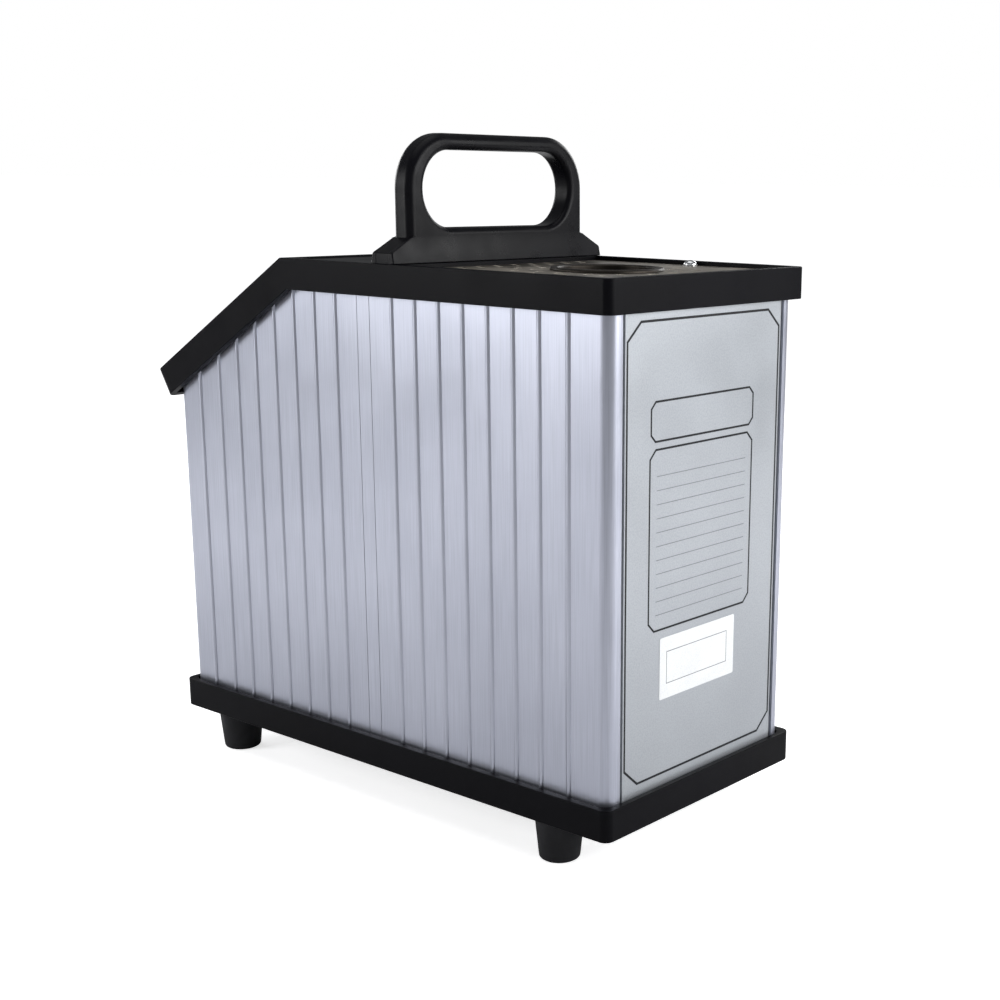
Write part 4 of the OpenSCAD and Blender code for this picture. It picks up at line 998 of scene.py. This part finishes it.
@dataclass
class FrontFittings:
    """Power switch, mains inlet with its fuse, and the sensor socket.

    Attributes:
        skin: Y of the front panel's face.
        switch: X and Z of the switch's middle.
        tilt: Lean of the rocker at rest, and of each half of its face, in degrees.
        pivot_in: Depth of the rocker's axis behind the panel's face.
        reach: Distance of the rocker's face from its axis.
        mark_up: Distance of the marks above and below the axis.
        fuse_z: Height of the fuse drawer's middle.
        glass: Inner radius, outer radius and half the length of the fuse's glass.
        cap: Radius of its caps, and how far from its middle they start and end.
    """

    skin: float = -144.566
    switch: Pair = (-30.0, 152.0)
    tilt: float = 9.0
    pivot_in: float = 6.0
    reach: float = 9.0
    mark_up: float = 3.8
    fuse_z: float = 67.6
    glass: Point = (0.9, 2.3, 5.0)
    cap: Point = (2.5, 4.6, 7.4)

    def rocker_marks(self) -> None:
        """Marks the rocker with a bar on its upper half and a ring on its lower half."""
        bar = slab(rounded_box(1.0, 3.6, 0.2, 2), -0.02, 0.08)
        t = np.linspace(0, 2 * pi, 33)[:-1]
        ring = outline_band(np.stack([1.7 * np.cos(t), 1.7 * np.sin(t)], -1), 0.55, -0.02, 0.08)
        lean, shells = radians(self.tilt), []
        c, s = cos(lean), sin(lean)
        turn = np.array([[1, 0, 0], [0, c, -s], [0, s, c]])
        axis = (self.switch[0], self.skin + self.pivot_in, self.switch[1])
        for mark, side in ((bar, 1), (ring, -1)):
            spot = (0.0, -self.reach - self.mark_up * tan(lean), side * self.mark_up)
            local = Facing(spot, (1, 0, 0), (0.0, -s * side, c)).set(mark)
            shells.append(local.moved(turn, axis))
        make("rocker_marks", merged(shells), INK_PALE, "rocker")

    def fuse(self) -> None:
        """Lays a glass fuse in the drawer."""
        side = np.array([[0, 0, 1], [0, 1, 0], [-1, 0, 0]], float)
        spot = (0, self.skin + 7, self.fuse_z + 0.6)
        r0, r1, end = self.glass
        glass = revolved([(r0, -end), (r1, -end), (r1, end), (r0, end)], 28).moved(side, spot)
        r, near, far = self.cap
        caps = [revolved([(0.01, z0), (r, z0), (r, z1), (0.01, z1)], 28).moved(side, spot)
                for z0, z1 in ((-far, -near), (near, far))]
        make("fuse_glass_tube", glass, FUSE_GLASS, "drawer")
        make("fuse_caps", merged(caps), CONTACT_PLATE, "drawer")

    def build(self) -> None:
        """Builds the fittings."""
        softened("power_switch_frame", FILLED_NYLON, 0.4, 3)
        softened("power_switch_rocker", ROCKER_GLOSS, 0.35, 3)
        softened("mains_inlet", FILLED_NYLON, 0.35)
        softened("inlet_pins", CONTACT_PLATE, 0.3)
        softened("fuse_drawer", FILLED_NYLON, 0.3)
        softened("sensor_socket", SOCKET_MOULD, 0.35)
        self.rocker_marks()
        self.fuse()


class Outlook(Enum):
    """Which way a screw's head faces, as the directions of u and v there."""

    SLOPE = ((1, 0, 0), (0, cos(SLOPE), sin(SLOPE)))
    FRONT = ((1, 0, 0), (0, 0, 1))
    UNDER = ((1, 0, 0), (0, -1, 0))


@dataclass
class Fasteners:
    """The screws that show: pan heads with a cross recess.

    Attributes:
        shanks: Shank radius of the panel's screws and of the casing's.
        panel: Outlook, X, Y, Z of the head's top and the whole length of each panel screw.
        casing: The same of each casing screw.
    """

    shanks: Pair = (1.5, 2.0)
    panel: tuple = (
        (Outlook.SLOPE, 63.5, -59.50, 260.92, 5.6), (Outlook.SLOPE, 63.5, -148.47, 207.25, 5.6),
        (Outlook.FRONT, 20.0, -149.366, 79.0, 10.8), (Outlook.UNDER, 35.75, 58.368, 21.0, 14.3),
        (Outlook.UNDER, 35.75, 129.868, 21.0, 14.3), (Outlook.UNDER, 46.0, 48.118, 62.0, 3.8),
        (Outlook.UNDER, 46.0, 140.118, 62.0, 3.8))
    casing: tuple = (
        (Outlook.UNDER, 60.0, -115.066, 9.6, 18.4), (Outlook.UNDER, 60.0, 117.618, 9.6, 18.4),
        (Outlook.UNDER, 59.8, -137.666, 17.6, 14.4), (Outlook.UNDER, 59.8, 145.618, 17.6, 14.4))

    def screw(self, r: float, length: float) -> Shell:
        """Makes a screw that hangs below w = 0, the top of its head.

        The cross's edge at angle t is the farther of its two bars' edges,
        max(min(a / |cos t|, b / |sin t|), min(b / |cos t|, a / |sin t|)), a bar being 2a
        long and 2b wide. The head's rows go from its rim, R, to that edge, c(t), as
        R + (c - R) k, and dip as w = -0.45 r (distance / R)^2.

        Args:
            r: Radius of the shank. The head's is twice that, and its height 1.2 r.
            length: Whole length.

        Returns:
            The closed shell.
        """
        t = -np.arange(48) * pi / 24
        c, s = np.maximum(np.abs(np.cos(t)), 1e-9), np.maximum(np.abs(np.sin(t)), 1e-9)
        a, b = 1.1 * r, 1.1 * r * tan(radians(15))
        cross = np.maximum(np.minimum(a / c, b / s), np.minimum(b / c, a / s))
        rim, one = 2 * r, np.ones_like(t)
        plain = [(0.02, -length), (r, -length), (r, -1.2 * r), (rim, -1.2 * r)]
        rows = [(q * one, w * one) for q, w in plain]
        for k in np.linspace(0, 1, 6):
            out = rim + (cross - rim) * k
            rows.append((out, -0.45 * r * (out / rim) ** 2))
        rows += [(0.8 * cross, -0.95 * r * one), (0.02 * one, -1.05 * r * one)]
        grid = np.stack([np.stack([q * np.cos(t), q * np.sin(t), w], -1) for q, w in rows])
        return lattice(grid, wrap_u=True, wrap_v=True)

    def fitted(self, node: str, places: tuple, r: float) -> None:
        """Puts a pair of screws at each place, one on either side, for a CAD node's own."""
        shells = [Facing((side * x, y, z), *outlook.value).set(self.screw(r, length))
                  for outlook, x, y, z, length in places for side in (-1, 1)]
        stand_in(node + "_cross_head", merged(shells), BRIGHT_PLATE, node)

    def build(self) -> None:
        """Makes the screws."""
        self.fitted("panel_screws", self.panel, self.shanks[0])
        self.fitted("case_screws", self.casing, self.shanks[1])


@dataclass
class Studio:
    """Floor, lights and camera.

    Attributes:
        eye: Place of the camera in metres.
        yaw, pitch, roll: Turn about Z, angle below level and turn of the picture, in radians.
        focal: Focal length in pixels of a picture 1000 wide.
        centre: Pixel that the camera's axis meets.
        sensor, wide: Width of the camera's sensor, and of the picture in pixels.
        clip: Nearest and farthest distance that it sees, in metres.
        disc: Inner and outer radius of the floor in metres, its rings and its spokes.
        lights: Place and aim in metres, width, height and power of each soft box.
        room: Colour and strength of the room, as the object reflects it.
    """

    eye: Point = (0.5757185, 0.5785537, 0.3066361)
    yaw: float = 2.2324
    pitch: float = 0.2427
    roll: float = 0.0140
    focal: float = 1604.141
    centre: Pair = (664.745, 573.045)
    sensor: float = 36.0
    wide: int = 1000
    clip: Pair = (0.01, 200.0)
    disc: tuple[float, float, int, int] = (0.05, 60, 24, 64)
    lights: dict[str, tuple] = field(default_factory=lambda: {
        "overhead": ((0.02, 0.05, 1.7), (0.02, 0.03, 0.2), 1.4, 1.4, 7.0),
        "side": ((0.894, -0.582, 0.466), (0.02, 0.03, 0.2), 0.5, 0.5, 6.1),
        "rear": ((-0.38, 1.02, 0.466), (0.02, 0.03, 0.2), 1.0, 0.5, 11.8),
        "front": ((-0.05, -1.4, 0.55), (0, 0, 0.18), 0.9, 0.5, 9.0),
        "left": ((-1.25, -0.1, 0.6), (0, 0, 0.18), 0.8, 0.5, 6.0)})
    room: tuple[tuple, float] = ((0.95, 0.97, 1.0, 1), 0.2)

    def floor(self) -> None:
        """Lays a pale floor: a disc of rings, z = 0."""
        near, far, rings, spokes = self.disc
        r = np.linspace(near, far, rings)[:, None]
        t = (np.arange(spokes) * 2 * pi / spokes)[None, :]
        grid = np.stack([r * np.cos(t), r * np.sin(t), 0 * r * t], -1) / MM
        shell = lattice(grid, wrap_v=True)
        shell.faces.append(tuple(range(spokes)))
        mesh = bpy.data.meshes.new("floor")
        mesh.from_pydata((shell.points * MM).tolist(), [], shell.faces)
        made = placed("floor", mesh)
        # The floor's glow is painted light, with a painted shadow under the object.
        glow = LitTable("pale_lit_table", "#f4f4f5", "#f1f1f3", 0.75, 0.03, grain=3.0,
                        relief=0.01, patch=300)
        mesh.materials.append(glow.build())

    def lamps(self) -> None:
        """Hangs the soft boxes and lights the room, which is plain white to the camera."""
        for name, (place, aim, w, h, power) in self.lights.items():
            data = bpy.data.lights.new(name, "AREA")
            data.shape, data.size, data.size_y, data.energy = "RECTANGLE", w, h, power
            lamp = placed(name, data)
            lamp.location = place
            lamp.visible_camera = False
            lamp.rotation_euler = (Vector(aim) - Vector(place)).to_track_quat("-Z", "Y").to_euler()
        world = bpy.data.worlds.new("studio")
        bpy.context.scene.world = world
        world.use_nodes = True
        tree = world.node_tree
        tree.nodes.clear()
        seen = add(tree, "LightPath").outputs["Is Camera Ray"]
        plain = add(tree, "Background", None, {"Color": (1, 1, 1, 1), "Strength": 1.0})
        room = add(tree, "Background", None, {"Color": self.room[0], "Strength": self.room[1]})
        both = add(tree, "MixShader", {0: seen, 1: room.outputs[0], 2: plain.outputs[0]})
        add(tree, "OutputWorld", {"Surface": both.outputs[0]})
        bpy.context.scene.view_settings.view_transform = "Standard"

    def camera(self) -> None:
        """Sets the camera: its axes are the view's direction, right and up, turned by the roll."""
        cy, sy = cos(self.yaw), sin(self.yaw)
        cp, sp = cos(self.pitch), sin(self.pitch)
        ahead = Vector((-sy * cp, cy * cp, -sp))
        right = ahead.cross(Vector((0, 0, 1))).normalized()
        up = right.cross(ahead)
        c, s = cos(self.roll), sin(self.roll)
        right, up = c * right + s * up, c * up - s * right
        data = bpy.data.cameras.new("view")
        data.sensor_width = self.sensor
        data.lens = self.focal * self.sensor / self.wide
        data.shift_x = (self.wide / 2 - self.centre[0]) / self.wide
        data.shift_y = (self.centre[1] - self.wide / 2) / self.wide
        data.clip_start, data.clip_end = self.clip
        seen = placed("view", data)
        turn = Matrix((right, up, -ahead)).transposed()
        seen.matrix_world = Matrix.Translation(self.eye) @ turn.to_4x4()
        bpy.context.scene.camera = seen

    def build(self) -> None:
        """Builds the studio."""
        self.camera()
        self.floor()
        self.lamps()


def main() -> None:
    """Builds the studio and every sub-assembly in order."""
    logging.basicConfig(level=logging.INFO, format="%(name)s %(message)s")
    Studio().build()
    for part in (Casing(), CarryingHandle(), WellTop(), HEATED_CORE,
                 Instrument("indicator", 31.8), Instrument("controller", 82.8), FrontFittings(),
                 COOLING_FAN, ELECTRONICS_BAY, Fasteners()):
        part.build()


if __name__ == "__main__":
    main()
